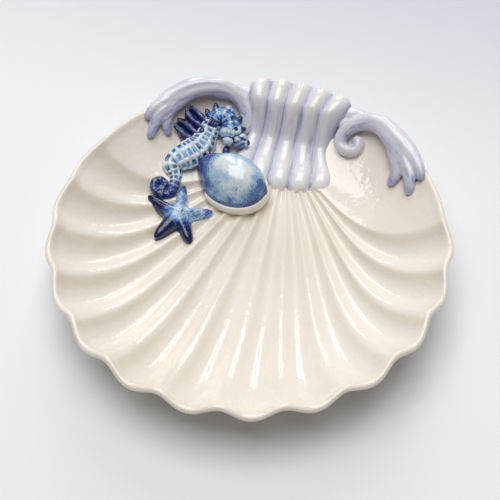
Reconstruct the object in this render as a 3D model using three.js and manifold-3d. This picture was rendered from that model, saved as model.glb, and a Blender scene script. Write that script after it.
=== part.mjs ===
// Shell plate: a scalloped, fluted earthenware dish with a moulded crown and two leaf scrolls at the
// back, and a seahorse, a clam and a starfish applied to the left of the floor.
// Millimetres, +Z up. The handle side is +Y, the open front is -Y. The object stands on its foot ring,
// and the origin is the middle of its footprint on the table.

import * as THREE from "three";
import { ParametricGeometry } from "three/addons/geometries/ParametricGeometry.js";
import { mergeVertices } from "three/addons/utils/BufferGeometryUtils.js";
import Module from "manifold-3d";

const wasm = await Module();
wasm.setup();

// Dish
const RIM_R = 144; // radius of the ridge ends on the rim
const RIM_Z = 51.5; // height of the ridge ends above the table
const FLOOR_Z = 14; // height of the ridges at the middle of the floor
const BOWL_POWER = 3.4; // how late the floor turns up into the wall
const WALL = 6; // thickness of the dish
const LOBES = 13; // scallops along the front and the sides
const FAN = 220.4; // degrees of the rim that the scallops take up
const LOBE_OUT = 4; // how far a scallop reaches past the ridge ends
const FLUTE_RIM = 4.6; // depth of a channel at the rim
const FLUTE_SWELL = 1.4; // how much deeper a channel is halfway along
const FLUTE_HINGE = 2; // depth of a channel where it leaves the hinge
const CREST = 0.9; // roundness of a ridge's crest
const FIELD = 0.45; // level of the smooth field behind the last ridge, from channel to crest
const FIELD_FADE = 1.2; // flute widths in which the last ridge sinks into the field

// Hinge: where the flutes start, as shares of the rim radius
const HINGE_Y = 0.517;
const HINGE_HALF = 0.258;
const HINGE_SAG = 0.0085;
const HINGE_BACK = 0.19;
const START_FAN = 51.6; // heading of the outermost flute where it leaves the hinge, in degrees

// Slip joint between an applied piece and what it sits on
const GAP = 0.3;
const WELD = 0.01; // cut edges as short as this are closed up

// Foot ring
const FOOT_R = 64; // outer radius
const FOOT_WIDTH = 9;

// Crown
const CROWN_FLUTES = 5;
const CROWN_PITCH = 17.5; // width of one flute at the top and at the lower ends
const CROWN_WAIST = 14.6; // width of one flute at the waist
const CROWN_RISE = 10; // how far the crown stands above the ridge ends
const CROWN_OVERHANG = 11.2; // how far the crown rolls out past the ridge ends
const CROWN_CREASE = 4.6; // depth of the creases between the flutes
const CROWN_BULB = 10; // height of the rounded lower ends above the floor
const CROWN_X = 2.3; // the crown sits slightly right of the middle

// Scrolls
const SCROLL_TIP = 4.6; // half-width of the curled end
const SCROLL_LEAF = 13.6; // half-width where the band opens into the leaf
const SCROLL_HIGH = 8.5; // half-height of the band
const SCROLL_LIFT = 7.5; // how far the band rises off the floor as it runs over the rim
const SCROLL_CREASE = 0.16; // depth of the crease along the band

// Seahorse
const TRUNK_R = 11.6; // half-width of the belly
const NECK_R = 8;
const BODY_LIFT = 5; // how far the middle of the trunk lies above the floor
const TAIL_R = 4.4; // half-width where the tail starts to curl
const TAIL_TIP = 1.7;
const COIL_R = 9.2; // radius of the curl, to the middle of the tail
const COIL_IN = 0.82; // share of that radius by which the curl winds in
const RING_STEP = 4.6; // distance between the bony rings
const RING_HIGH = 0.09; // height of a ring, as a share of the half-width
const FIN_PLEATS = 4;
const FIN_HIGH = 11;

// Clam
const CLAM_LONG = 28.3; // half-length
const CLAM_WIDE = 22; // half-width
const CLAM_DOME = 25; // height of the upper valve
const CLAM_LOW = 8; // height of the lower valve at its middle
const CLAM_TILT = 0.5; // how much lower it is at the beak and higher at the far end
const CLAM_LIP = 2.2; // how far the lower valve stands out

// Starfish
const STAR_ARMS = 5;
const STAR_LEN = 28;
const STAR_VALLEY = 12; // radius between two arms
const STAR_HIGH = 11; // height at the middle
const STAR_TIP = 5.5; // height near the tips
const STAR_EDGE = 1; // height of the outline
const STAR_LEANS = [3.6, 0, -11, 1, -6]; // degrees by which the arms lean to one side

const { lerp, clamp, smoothstep, degToRad } = THREE.MathUtils;
const halfFan = LOBES / 2;
const lobeAngle = FAN / LOBES;
const halfTurn = 180 / lobeAngle;
const fieldOut = LOBE_OUT * (1 - FIELD);

// Solids

// Corners closer than `weld` become one, and the faces that this folds away are left out.
function weldedFaces(geometry, weld) {
  geometry.deleteAttribute("normal");
  geometry.deleteAttribute("uv");
  const { attributes, index } = mergeVertices(geometry, weld);
  const faces = new Map();
  for (let i = 0; i < index.count; i += 3) {
    const face = [index.getX(i), index.getX(i + 1), index.getX(i + 2)];
    if (new Set(face).size < 3) continue;
    const key = [...face].sort((m, n) => m - n).join();
    if (faces.has(key)) faces.delete(key);
    else faces.set(key, face);
  }
  return { corners: attributes.position, faces: [...faces.values()] };
}

function solidFrom(geometry) {
  const { corners, faces } = weldedFaces(geometry, 1e-3);
  const corner = (i) => new THREE.Vector3().fromBufferAttribute(corners, i);
  const volume = faces.reduce((sum, [a, b, c]) => sum + corner(a).dot(corner(b).cross(corner(c))), 0);
  const facing = volume > 0 ? faces : faces.map((f) => f.reverse());
  const mesh = new wasm.Mesh({
    numProp: 3,
    vertProperties: new Float32Array(corners.array),
    triVerts: new Uint32Array(facing.flat()),
  });
  return new wasm.Manifold(mesh);
}

// A closed surface from a grid: `point(i, j)` for column i (closing on itself) and row j (pole to pole).
function skin(point, columns, rows) {
  const fill = (u, v, target) => {
    const i = Math.round(u * columns) % columns;
    target.copy(point(i, Math.round(v * rows)));
  };
  return solidFrom(new ParametricGeometry(fill, columns, rows));
}

function geometryOf(solid) {
  const out = solid.getMesh();
  const geometry = new THREE.BufferGeometry();
  geometry.setAttribute("position", new THREE.Float32BufferAttribute(out.vertProperties, 3));
  geometry.setIndex(new THREE.Uint32BufferAttribute(out.triVerts, 1));
  return geometry;
}

function meshOf(name, solid, color, roughness) {
  const geometry = geometryOf(solid.simplify(WELD));
  geometry.computeVertexNormals();
  const material = new THREE.MeshStandardMaterial({ color, roughness, metalness: 0 });
  const mesh = new THREE.Mesh(geometry, material);
  mesh.name = name;
  return mesh;
}

// Dish surface. A flute number n counts flutes from the middle of the front: ridges lie at the halves
// for an odd count, and |n| runs on past the last ridge to the middle of the back.

function crest(n) {
  const a = Math.abs(n);
  if (a > halfFan) return lerp(1, FIELD, smoothstep(a - halfFan, 0, FIELD_FADE));
  const s = Math.abs(Math.sin(Math.PI * (a - halfFan)));
  return 1 - (Math.hypot(s, CREST) - CREST) / (Math.hypot(1, CREST) - CREST);
}

const rimRadius = (n) => RIM_R + LOBE_OUT * (1 - crest(n));

const bowl = (q) => FLOOR_Z + (RIM_Z - FLOOR_Z) * Math.pow(q, BOWL_POWER);

const bowlSlope = (q) => (BOWL_POWER * (RIM_Z - FLOOR_Z) * Math.pow(q, BOWL_POWER - 1)) / RIM_R;

const fluteDepth = (t) => lerp(FLUTE_HINGE, FLUTE_RIM, t) + FLUTE_SWELL * 4 * t * (1 - t);

const heading = (angle) => new THREE.Vector2(Math.sin(angle), -Math.cos(angle));

function hingePoint(n) {
  const q = Math.abs(n) / halfFan;
  const turn = (clamp((Math.abs(n) - halfFan) / (halfTurn - halfFan), 0, 1) * Math.PI) / 2;
  const x = HINGE_HALF * Math.min(q, 1) * Math.cos(turn) * Math.sign(n);
  const y = HINGE_Y + HINGE_SAG * Math.min(q, 1) ** 2 + HINGE_BACK * Math.sin(turn);
  return new THREE.Vector2(x * RIM_R, y * RIM_R);
}

// The line that one flute follows over the floor, seen from above.
function fluteLine(n) {
  const q = Math.min(Math.abs(n) / halfFan, 1);
  const back = clamp((Math.abs(n) - halfFan) / (halfTurn - halfFan), 0, 1);
  const start = lerp(START_FAN * q * (1.28 - 0.28 * q * q), 180, back);
  const end = degToRad(lobeAngle * n);
  const from = hingePoint(n);
  const to = heading(end).multiplyScalar(rimRadius(n));
  const reach = from.distanceTo(to);
  const leave = heading(degToRad(start) * Math.sign(n)).multiplyScalar(reach * (0.46 - 0.13 * q));
  const arrive = heading(end).multiplyScalar(reach * (0.08 + 0.38 * q - 0.13 * back));
  return new THREE.CubicBezierCurve(from, from.clone().add(leave), to.clone().sub(arrive), to);
}

// Level of the floor without its flutes, on which the applied pieces are set out.
function floorAt(x, y) {
  const q = Math.hypot(x, y) / (RIM_R + fieldOut);
  return bowl(q) - lerp(FLUTE_HINGE, FLUTE_RIM, q) * (1 - FIELD);
}

function floorNormal(x, y) {
  const d = 0.5;
  const dx = (floorAt(x + d, y) - floorAt(x - d, y)) / (2 * d);
  const dy = (floorAt(x, y + d) - floorAt(x, y - d)) / (2 * d);
  return new THREE.Vector3(-dx, -dy, 1).normalize();
}

const place = (fx, fy, lift = 0) => {
  const [x, y] = [fx * RIM_R, fy * RIM_R];
  return new THREE.Vector3(x, y, floorAt(x, y) + lift);
};

// Columns of the dish grid: close together at the ridges, wider over the channels and the fields.
const FLUTE_STEPS = [0, 0.12, 0.28, 0.5, 0.72, 0.88];
const FIELD_STEPS = 9;
const dishColumns = LOBES * FLUTE_STEPS.length + 2 * FIELD_STEPS;

function fluteNumber(column) {
  const inFan = column - FIELD_STEPS;
  if (inFan < 0) return lerp(-halfTurn, -halfFan, 1 - (-inFan / FIELD_STEPS) ** 1.4);
  const lobe = Math.floor(inFan / FLUTE_STEPS.length);
  if (lobe < LOBES) return lobe + FLUTE_STEPS[inFan % FLUTE_STEPS.length] - halfFan;
  const past = (inFan - LOBES * FLUTE_STEPS.length) / FIELD_STEPS;
  return lerp(halfFan, halfTurn, past ** 1.4);
}

const lines = Array.from({ length: dishColumns }, (_, i) => fluteLine(fluteNumber(i)));

const TOP_ROWS = 11;
const LIP_ROWS = 3;
const UNDER_ROWS = 4;

function dishTop(column, t) {
  const n = fluteNumber(column);
  const p = lines[column].getPoint(t);
  const z = bowl(p.length() / rimRadius(n)) - fluteDepth(t) * (1 - crest(n));
  return new THREE.Vector3(p.x, p.y, z);
}

// The outer face is round and smooth over the foot and takes on the flutes towards the rim.
const underShare = (r) => smoothstep(r / RIM_R, 0.5, 1);

function underZ(r, q, depth) {
  const tilt = Math.atan(bowlSlope(q));
  const plain = fluteDepth(r / RIM_R);
  return bowl(q) - lerp(plain, depth, underShare(r)) - WALL * Math.cos(tilt);
}

function dishUnder(column, t) {
  const n = fluteNumber(column);
  const p = lines[column].getPoint(t);
  const r = p.length();
  const q = r / lerp(RIM_R, rimRadius(n), underShare(r));
  const out = p.clone().multiplyScalar(1 + (WALL * Math.sin(Math.atan(bowlSlope(q)))) / Math.max(r, 1));
  return new THREE.Vector3(out.x, out.y, underZ(r, q, fluteDepth(t) * (1 - crest(n))));
}

// Rounded lip: `turn` runs from 0 on the inner face to a half turn on the outer face.
function dishLip(column, turn, grow) {
  const top = dishTop(column, 1);
  const under = dishUnder(column, 1);
  const middle = top.clone().add(under).multiplyScalar(0.5);
  const across = top.clone().sub(under).normalize();
  const outward = new THREE.Vector3(top.x, top.y, 0).normalize();
  const along = outward.sub(across.clone().multiplyScalar(across.dot(outward))).normalize();
  const r = WALL / 2 + grow;
  const lip = middle.addScaledVector(across, r * Math.cos(turn));
  return lip.addScaledVector(along, r * Math.sin(turn));
}

const hingeMiddle = new THREE.Vector2(0, (HINGE_Y + HINGE_BACK / 3) * RIM_R);
const hingeTop = bowl(hingeMiddle.y / RIM_R) - FLUTE_HINGE * 0.5;

function dishSolid() {
  const underStart = TOP_ROWS + LIP_ROWS + 2;
  const rows = underStart + UNDER_ROWS + 1;
  const under = bowl(hingeMiddle.y / RIM_R) - FLUTE_HINGE - WALL;
  return skin((i, j) => {
    if (j === 0) return new THREE.Vector3(hingeMiddle.x, hingeMiddle.y, hingeTop);
    if (j <= TOP_ROWS + 1) return dishTop(i, (j - 1) / TOP_ROWS);
    if (j < underStart) return dishLip(i, ((j - TOP_ROWS - 1) / (LIP_ROWS + 1)) * Math.PI, 0);
    if (j < rows) return dishUnder(i, 1 - (j - underStart) / UNDER_ROWS);
    return new THREE.Vector3(hingeMiddle.x, hingeMiddle.y, under);
  }, dishColumns, rows);
}

// Everything that the dish takes up below its raised upper face: applied pieces are cut to sit on it.
function seatSolid() {
  const depth = -RIM_Z;
  const lipEnd = TOP_ROWS + LIP_ROWS + 1;
  const lipTurn = (row) => ((row - TOP_ROWS - 1) / (LIP_ROWS + 1)) * Math.PI;
  const rows = lipEnd + 2;
  return skin((i, j) => {
    if (j === 0) return new THREE.Vector3(hingeMiddle.x, hingeMiddle.y, hingeTop + GAP);
    if (j <= TOP_ROWS + 1) return dishTop(i, (j - 1) / TOP_ROWS).add(new THREE.Vector3(0, 0, GAP));
    if (j <= lipEnd) return dishLip(i, lipTurn(j), GAP);
    if (j < rows) return dishLip(i, lipTurn(lipEnd), GAP).setZ(depth);
    return new THREE.Vector3(hingeMiddle.x, hingeMiddle.y, depth);
  }, dishColumns, rows);
}

// The foot ring's upper face follows the outer face of the dish.
function footSolid() {
  const inner = FOOT_R - FOOT_WIDTH;
  const foot = FOOT_WIDTH * 0.3;
  const at = (r, z) => new THREE.Vector2(r, z);
  const under = (r) => at(r, underZ(r, r / RIM_R, 0) - GAP);
  const profile = [
    at(inner + foot, 0),
    at(FOOT_R - foot, 0),
    at(FOOT_R - foot * 0.3, foot * 0.4),
    at(FOOT_R, foot * 1.2),
    under(FOOT_R),
    under((FOOT_R + inner) / 2),
    under(inner),
    at(inner, foot * 1.2),
    at(inner + foot * 0.3, foot * 0.4),
    at(inner + foot, 0),
  ];
  return solidFrom(new THREE.LatheGeometry(profile, 36).rotateX(Math.PI / 2));
}

// Crown: one moulded piece of five flutes that lies on the floor, climbs the wall and rolls over the rim.

const crownWaistY = 0.694 * RIM_R;

function crownPitch(y) {
  return CROWN_PITCH - (CROWN_PITCH - CROWN_WAIST) * Math.exp(-(((y - crownWaistY) / 17) ** 2));
}

function crownProfile() {
  const above = (fy, h) => new THREE.Vector2(fy * RIM_R, floorAt(0, fy * RIM_R) + h);
  const overRim = (out, share) => new THREE.Vector2(RIM_R + CROWN_OVERHANG * out, RIM_Z + CROWN_RISE * share);
  return new THREE.SplineCurve([
    above(0.479, -CROWN_BULB * 0.3),
    above(0.5, CROWN_BULB * 0.62),
    above(0.56, CROWN_BULB),
    above(0.694, CROWN_BULB * 0.72),
    above(0.79, CROWN_BULB * 1.45),
    overRim(-1.03, 0.62),
    overRim(0, 1),
    overRim(0.64, 0.72),
    overRim(1, 0),
    overRim(0.9, -0.6),
  ]);
}

function crownSolid(grow) {
  const profile = crownProfile();
  const across = CROWN_FLUTES * 5;
  const along = 18;
  const loop = along + 3;
  const start = profile.getPointAt(0);
  const end = profile.getPointAt(1);
  const sideY = lerp(crownWaistY, RIM_R, 0.3);
  const below = (share) => {
    const y = lerp(end.y, start.y, share);
    return new THREE.Vector2(y, Math.min(floorAt(0, y), RIM_Z) - 2.5 * CROWN_BULB);
  };
  const point = (i, j) => {
    const edge = j === 0 || j === across + 2;
    const a = (clamp(j - 1, 0, across) / across - 0.5) * CROWN_FLUTES;
    const spread = (pitch) => CROWN_X + a * (pitch + (2 * grow) / CROWN_FLUTES);
    if (edge) return new THREE.Vector3(spread(crownPitch(sideY)), sideY, floorAt(0, sideY) - CROWN_BULB);
    const onTop = i <= along;
    const p = onTop ? profile.getPointAt(i / along) : below((i - along) / 3);
    if (onTop) {
      const d = profile.getTangentAt(i / along);
      const flute = Math.abs(Math.cos(Math.PI * (a + (CROWN_FLUTES - 1) / 2)));
      const side = clamp((Math.abs(a) - CROWN_FLUTES / 2 + 0.5) * 2, 0, 1);
      const blunt = lerp(0.6, 1, smoothstep(p.x, 0.48 * RIM_R, 0.6 * RIM_R));
      const sunk = CROWN_CREASE * blunt * (1 - Math.pow(flute, 0.7)) - grow;
      p.add(new THREE.Vector2(d.y, -d.x).multiplyScalar(sunk));
      p.y -= CROWN_BULB * 0.7 * side ** 3;
    }
    const x = spread(crownPitch(p.x));
    const frontness = 1 - smoothstep(p.x, 0.45 * RIM_R, crownWaistY);
    const backness = smoothstep(p.x, crownWaistY, RIM_R);
    const y = p.x + frontness * 0.045 * RIM_R * (a / 2) ** 2 - (backness * x * x) / (2 * RIM_R);
    return new THREE.Vector3(x, y, p.y);
  };
  return skin(point, loop, across + 2);
}

// A rounded band along a line on the dish, tilted with the wall. `size(s)` gives its half-width and
// half-height at a share s of its length, and `shape(angle, s)` scales its outline.
function band(line, size, sides, steps, grow, shape = () => 1) {
  return skin((i, j) => {
    const s = j / steps;
    const centre = line.getPointAt(s);
    const t = line.getTangentAt(s);
    if (j === 0 || j === steps) return centre.addScaledVector(t, j === 0 ? -grow : grow);
    const up = floorNormal(centre.x, centre.y);
    const out = t.clone().cross(up).normalize();
    const top = out.clone().cross(t).normalize();
    const angle = (2 * Math.PI * i) / sides;
    const [w, h] = size(s);
    const k = shape(angle, s);
    const p = centre.clone().addScaledVector(out, (w * k + grow) * Math.cos(angle));
    return p.addScaledVector(top, (h * k + grow) * Math.sin(angle));
  }, sides, steps);
}

const roundEnds = (s, first, last) => {
  const a = clamp(s / first, 0, 1);
  const b = clamp((1 - s) / last, 0, 1);
  return Math.sqrt(1 - (1 - a) ** 2) * Math.sqrt(1 - (1 - b) ** 2);
};

const lineOf = (points) => new THREE.CatmullRomCurve3(points, false, "centripetal");

// Scroll: a band that curls at the crown, runs along the rim and opens into a leaf of three fingers.
// The left one has no curl, because the seahorse's head lies there.
function scrollSolid(side, grow) {
  const toCrown = (fx) => (CROWN_X / RIM_R) * (1 - smoothstep(fx, 0.4, 0.65));
  const at = (fx, fy, lift) => place(side * fx + toCrown(fx), fy, SCROLL_LIFT * lift);
  const curl = [at(0.374, 0.812, 0.4), at(0.41, 0.8, 0.4), at(0.402, 0.76, 0.4), at(0.351, 0.752, 0.5)];
  const run = [
    at(0.308, 0.785, 0.6),
    at(0.322, 0.845, 0.8),
    at(0.4, 0.885, 1),
    at(0.49, 0.875, 1),
    at(0.578, 0.815, 1),
    at(0.652, 0.742, 0.9),
    at(0.715, 0.655, 0.7),
  ];
  const line = lineOf(side < 0 ? run : [...curl, ...run]);
  const crease = (angle) => 1 - SCROLL_CREASE * Math.exp(-(((angle - Math.PI * 0.5) / 0.3) ** 2));
  const first = side < 0 ? lerp(SCROLL_TIP, SCROLL_LEAF, 0.35) : SCROLL_TIP;
  const width = (s) => lerp(first, SCROLL_LEAF, s);
  const size = (s) => {
    const k = roundEnds(s, 0.035, 0.08);
    return [width(s) * k, lerp(0.66, 1, s) * SCROLL_HIGH * k * lerp(1, 0.7, smoothstep(s, 0.75, 1))];
  };
  const main = band(line, size, 12, side < 0 ? 22 : 30, grow, crease);
  const finger = (root, hip, knee, tip, wide) => {
    const taper = (s) => {
      const k = roundEnds(s, 0.4, 0.12) * lerp(1, 0.34, s);
      return [wide * k, SCROLL_HIGH * 0.8 * k];
    };
    return band(lineOf([root, hip, knee, tip]), taper, 8, 8, grow);
  };
  const leaf = SCROLL_LEAF * 0.62;
  return main
    .add(finger(at(0.57, 0.79, 0.9), at(0.63, 0.71, 0.8), at(0.648, 0.65, 0.6), at(0.624, 0.583, 0.3), leaf))
    .add(finger(at(0.6, 0.79, 0.9), at(0.675, 0.7, 0.8), at(0.722, 0.61, 0.6), at(0.742, 0.522, 0.3), leaf))
    .add(finger(at(0.62, 0.8, 0.9), at(0.7, 0.725, 0.8), at(0.755, 0.66, 0.7), at(0.79, 0.59, 0.4), leaf));
}

// Seahorse

const coilMiddle = new THREE.Vector2(-0.597, 0.295).multiplyScalar(RIM_R);

function coilLine(from, to) {
  const points = [];
  const steps = 7;
  for (let i = 0; i <= steps; i++) {
    const s = lerp(from, to, i / steps);
    const angle = -s * degToRad(390);
    const r = COIL_R * (1 - COIL_IN * s);
    const x = coilMiddle.x + r * Math.cos(angle);
    const y = coilMiddle.y + r * Math.sin(angle);
    points.push(new THREE.Vector3(x, y, floorAt(x, y) + TAIL_R * 0.4));
  }
  return lineOf(points);
}

const coilSize = (s) => lerp(TAIL_R, TAIL_TIP, s);

const ringed = (length) => (angle, s) => 1 + RING_HIGH * Math.cos((2 * Math.PI * s * length) / RING_STEP);

function bodySolid(grow) {
  const lift = BODY_LIFT;
  const trunk = lineOf([
    place((coilMiddle.x + COIL_R) / RIM_R, 0.27, TAIL_R * 0.4),
    place(-0.543, 0.37, TAIL_R * 0.4),
    place(-0.577, 0.43, lift * 0.8),
    place(-0.553, 0.47, lift),
    place(-0.505, 0.523, lift),
    place(-0.463, 0.585, lift),
    place(-0.45, 0.648, lift),
    place(-0.437, 0.712, lift),
    place(-0.42, 0.765, lift),
  ]);
  const length = trunk.getLength();
  const trunkSize = (s) => {
    const belly = lerp(TAIL_R, TRUNK_R, smoothstep(s, 0.12, 0.5));
    const w = lerp(belly, NECK_R, smoothstep(s, 0.6, 0.85)) * roundEnds(s, 0.03, 0.06);
    return [w, w * 0.82];
  };
  const main = band(trunk, trunkSize, 10, Math.round((2 * length) / RING_STEP), grow, ringed(length));
  const curl = (from, to) => {
    const line = coilLine(from, to);
    const taper = (s) => {
      const w = coilSize(lerp(from, to, s)) * roundEnds(s, 0.08, 0.08);
      return [w, w];
    };
    return band(line, taper, 8, 13, grow, ringed(line.getLength()));
  };
  return main.add(curl(0, 0.5)).add(curl(0.42, 1));
}

function ball(centre, rx, ry, rz, turn, grow) {
  const sphere = new THREE.SphereGeometry(1, 10, 7).scale(rx + grow, ry + grow, rz + grow);
  return solidFrom(sphere.rotateZ(turn).translate(centre.x, centre.y, centre.z));
}

function spike(base, tip, radius, grow) {
  const along = tip.clone().sub(base);
  const cone = new THREE.CylinderGeometry(radius * 0.3 + grow, radius + grow, along.length() + grow, 6);
  const turn = new THREE.Quaternion().setFromUnitVectors(new THREE.Vector3(0, 1, 0), along.normalize());
  cone.applyQuaternion(turn);
  const middle = base.clone().add(tip).multiplyScalar(0.5);
  return solidFrom(cone.translate(middle.x, middle.y, middle.z));
}

function headSolid(grow) {
  const high = BODY_LIFT + NECK_R * 0.55;
  const neck = lineOf([
    place(-0.428, 0.735, high * 0.7),
    place(-0.412, 0.765, high * 0.8),
    place(-0.38, 0.775, high * 0.9),
    place(-0.345, 0.757, high),
    place(-0.322, 0.72, high),
  ]);
  const arch = (s) => [NECK_R * 0.85 * roundEnds(s, 0.1, 0.1), NECK_R * 0.85 * roundEnds(s, 0.1, 0.1)];
  const skull = ball(place(-0.318, 0.7, high), NECK_R * 1.2, NECK_R * 1.05, NECK_R * 0.95, 0.9, grow);
  const snout = lineOf([
    place(-0.315, 0.7, high * 0.9),
    place(-0.28, 0.672, high * 0.75),
    place(-0.245, 0.675, high * 0.6),
    place(-0.212, 0.69, high * 0.6),
  ]);
  const muzzle = (s) => [NECK_R * 0.62 * roundEnds(s, 0.1, 0.06), NECK_R * 0.6 * roundEnds(s, 0.1, 0.06)];
  const cheek = ball(place(-0.328, 0.665, high * 0.8), NECK_R * 0.6, NECK_R * 0.6, NECK_R * 0.6, 0, grow);
  const chin = ball(place(-0.328, 0.63, high * 0.3), NECK_R * 0.42, NECK_R * 0.62, NECK_R * 0.5, 0, grow);
  const coronet = ball(place(-0.362, 0.815, high * 0.9), NECK_R * 0.55, NECK_R * 0.55, NECK_R * 0.55, 0, grow);
  const horn = (fx, fy, ox, oy) => spike(
    place(fx, fy, high * 0.9),
    place(fx + ox, fy + oy, high * 0.9),
    NECK_R * 0.34,
    grow,
  );
  return skull
    .add(band(neck, arch, 10, 10, grow))
    .add(band(snout, muzzle, 10, 10, grow))
    .add(cheek)
    .add(chin)
    .add(coronet)
    .add(horn(-0.3, 0.765, 0.02, 0.04))
    .add(horn(-0.275, 0.735, 0.026, 0.024))
    .add(horn(-0.43, 0.785, -0.006, 0.042));
}

// Pleated back fin: crests run from the root along the body to the points of its outer edge.
function finSolid() {
  const root = lineOf([place(-0.51, 0.575, 0), place(-0.475, 0.65, 0), place(-0.455, 0.735, 0)]);
  const edge = lineOf([place(-0.63, 0.595, 0), place(-0.605, 0.68, 0), place(-0.545, 0.775, 0)]);
  const steps = FIN_PLEATS * 4;
  const rows = 5;
  const ringOf = 2 * steps;
  return skin((i, j) => {
    const topSide = i <= steps;
    const a = (topSide ? i : ringOf - i) / steps;
    const s = clamp((j - 1) / (rows - 2), 0, 1);
    const wave = 0.5 - 0.5 * Math.cos(2 * Math.PI * FIN_PLEATS * a);
    const reach = s * (0.8 + 0.2 * wave);
    const p = root.getPoint(a).lerp(edge.getPoint(a), reach);
    const high = FIN_HIGH * (0.45 + 0.5 * wave) * lerp(1, 0.7, s);
    if (j === 0) return root.getPoint(0.5);
    if (j === rows) return edge.getPoint(0.5).lerp(root.getPoint(0.5), 0.2);
    const z = floorAt(p.x, p.y) + (topSide && i > 0 && i < steps ? high : -WALL * 0.7);
    return p.setZ(z);
  }, ringOf, rows);
}

// Clam: an egg-shaped outline with a beak, pointing left along the clam's length.

const clamMiddle = new THREE.Vector2(-0.215, 0.418).multiplyScalar(RIM_R);
const CLAM_TURN = degToRad(160);
const CLAM_COLUMNS = 30;

function clamOutline(angle, share, grow) {
  const round = Math.hypot(Math.cos(angle) / CLAM_LONG, Math.sin(angle) / CLAM_WIDE);
  const off = Math.atan2(Math.sin(angle), Math.cos(angle));
  const beak = 1 + 0.2 * Math.exp(-((off / 0.36) ** 2));
  const r = (beak / round) * share + grow;
  const x = clamMiddle.x + r * Math.cos(angle + CLAM_TURN);
  const y = clamMiddle.y + r * Math.sin(angle + CLAM_TURN);
  return new THREE.Vector3(x, y, floorAt(x, y));
}

function clamLow(x, y) {
  const along = (x - clamMiddle.x) * Math.cos(CLAM_TURN) + (y - clamMiddle.y) * Math.sin(CLAM_TURN);
  return CLAM_LOW * (1 - (CLAM_TILT * along) / CLAM_LONG);
}

function upperValve(grow) {
  const rows = 10;
  return skin((i, j) => {
    const angle = (2 * Math.PI * i) / CLAM_COLUMNS;
    const s = Math.sin((Math.min(j, rows - 1) / (rows - 1)) * (Math.PI / 2));
    const p = j === rows ? clamOutline(angle, 0, 0) : clamOutline(angle, s, grow * s);
    const joint = floorAt(p.x, p.y) + clamLow(p.x, p.y) + GAP - grow;
    if (j === rows) return p.setZ(joint);
    const lean = 0.04 * CLAM_LONG * (1 - s);
    p.x += lean * Math.cos(CLAM_TURN);
    p.y += lean * Math.sin(CLAM_TURN);
    return p.setZ(joint + grow + Math.pow(Math.max(1 - s * s, 0), 0.55) * (CLAM_DOME + grow));
  }, CLAM_COLUMNS, rows);
}

function lowerValve(grow) {
  const shares = [0, 0.5, 0.96, 1, 0.97, 0.88, 0];
  const highs = [1, 1, 1, 0.7, 0.35, -0.6, -0.6];
  return skin((i, j) => {
    const p = clamOutline((2 * Math.PI * i) / CLAM_COLUMNS, shares[j], shares[j] * (CLAM_LIP + grow));
    return p.setZ(p.z + highs[j] * clamLow(p.x, p.y) + (highs[j] > 0.5 ? grow : -grow));
  }, CLAM_COLUMNS, shares.length - 1);
}

// Starfish: plump tapering arms with rounded backs, not quite evenly spread.
function starSolid() {
  const middle = new THREE.Vector2(-0.449, 0.139).multiplyScalar(RIM_R);
  const perArm = 8;
  const columns = STAR_ARMS * perArm;
  const rows = 8;
  const armAngle = (k) => degToRad(28 + (360 * k) / STAR_ARMS + STAR_LEANS[k % STAR_LEANS.length]);
  return skin((i, j) => {
    const k = Math.floor(i / perArm);
    const f = (i % perArm) / perArm;
    const next = k + 1 === STAR_ARMS ? armAngle(0) + 2 * Math.PI : armAngle(k + 1);
    const angle = lerp(armAngle(k), next, f);
    const off = Math.min(angle - armAngle(k), next - angle);
    const length = STAR_LEN * (1 + 0.1 * Math.cos(angle - degToRad(125)));
    const bend = Math.pow(Math.sin(f * Math.PI), 1.9);
    const outline = 1 / (1 / length + (1 / STAR_VALLEY - 1 / length) * bend);
    const s = Math.sin((Math.min(j, rows - 2) / (rows - 2)) * (Math.PI / 2));
    const r = j === rows ? 0 : outline * s;
    const x = middle.x + r * Math.cos(angle);
    const y = middle.y + r * Math.sin(angle);
    const d = clamp((r * Math.cos(off)) / length, 0, 1);
    const back = lerp(STAR_HIGH, STAR_TIP, Math.pow(d, 0.8)) - STAR_EDGE;
    const high = STAR_EDGE + back * Math.sqrt(Math.max(1 - Math.pow(s, 2.6), 0));
    return new THREE.Vector3(x, y, floorAt(x, y) + (j >= rows - 1 ? -WALL : high));
  }, columns, rows);
}

// Assembly: every applied piece is cut by what it sits on, with the slip joint left between them.

const dish = dishSolid();
const seat = seatSolid();
const crownCut = crownSolid(GAP);
const leftCut = scrollSolid(-1, GAP);
const bodyCut = bodySolid(GAP);
const headCut = headSolid(GAP);
const lowerCut = lowerValve(GAP);
const upperCut = upperValve(GAP);

const crown = crownSolid(0).subtract(seat);
const leftScroll = scrollSolid(-1, 0).subtract(seat).subtract(crownCut).subtract(bodyCut).subtract(headCut);
const rightScroll = scrollSolid(1, 0).subtract(seat).subtract(crownCut);
const body = bodySolid(0).subtract(seat);
const head = headSolid(0).subtract(seat).subtract(crownCut).subtract(bodyCut);
const fin = finSolid().subtract(seat).subtract(bodyCut).subtract(leftCut);
const lower = lowerValve(0).subtract(seat).subtract(crownCut).subtract(bodyCut).subtract(headCut);
const upper = upperValve(0).subtract(seat).subtract(crownCut).subtract(bodyCut).subtract(headCut);
const star = starSolid().subtract(seat).subtract(bodyCut).subtract(lowerCut).subtract(upperCut);

const CREAM = 0xece6d9;
const LAVENDER = 0xbcbbcb;
const BLUE = 0x6f8fc4;
const COBALT = 0x35427f;
const GLAZE = 0.12;

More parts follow.
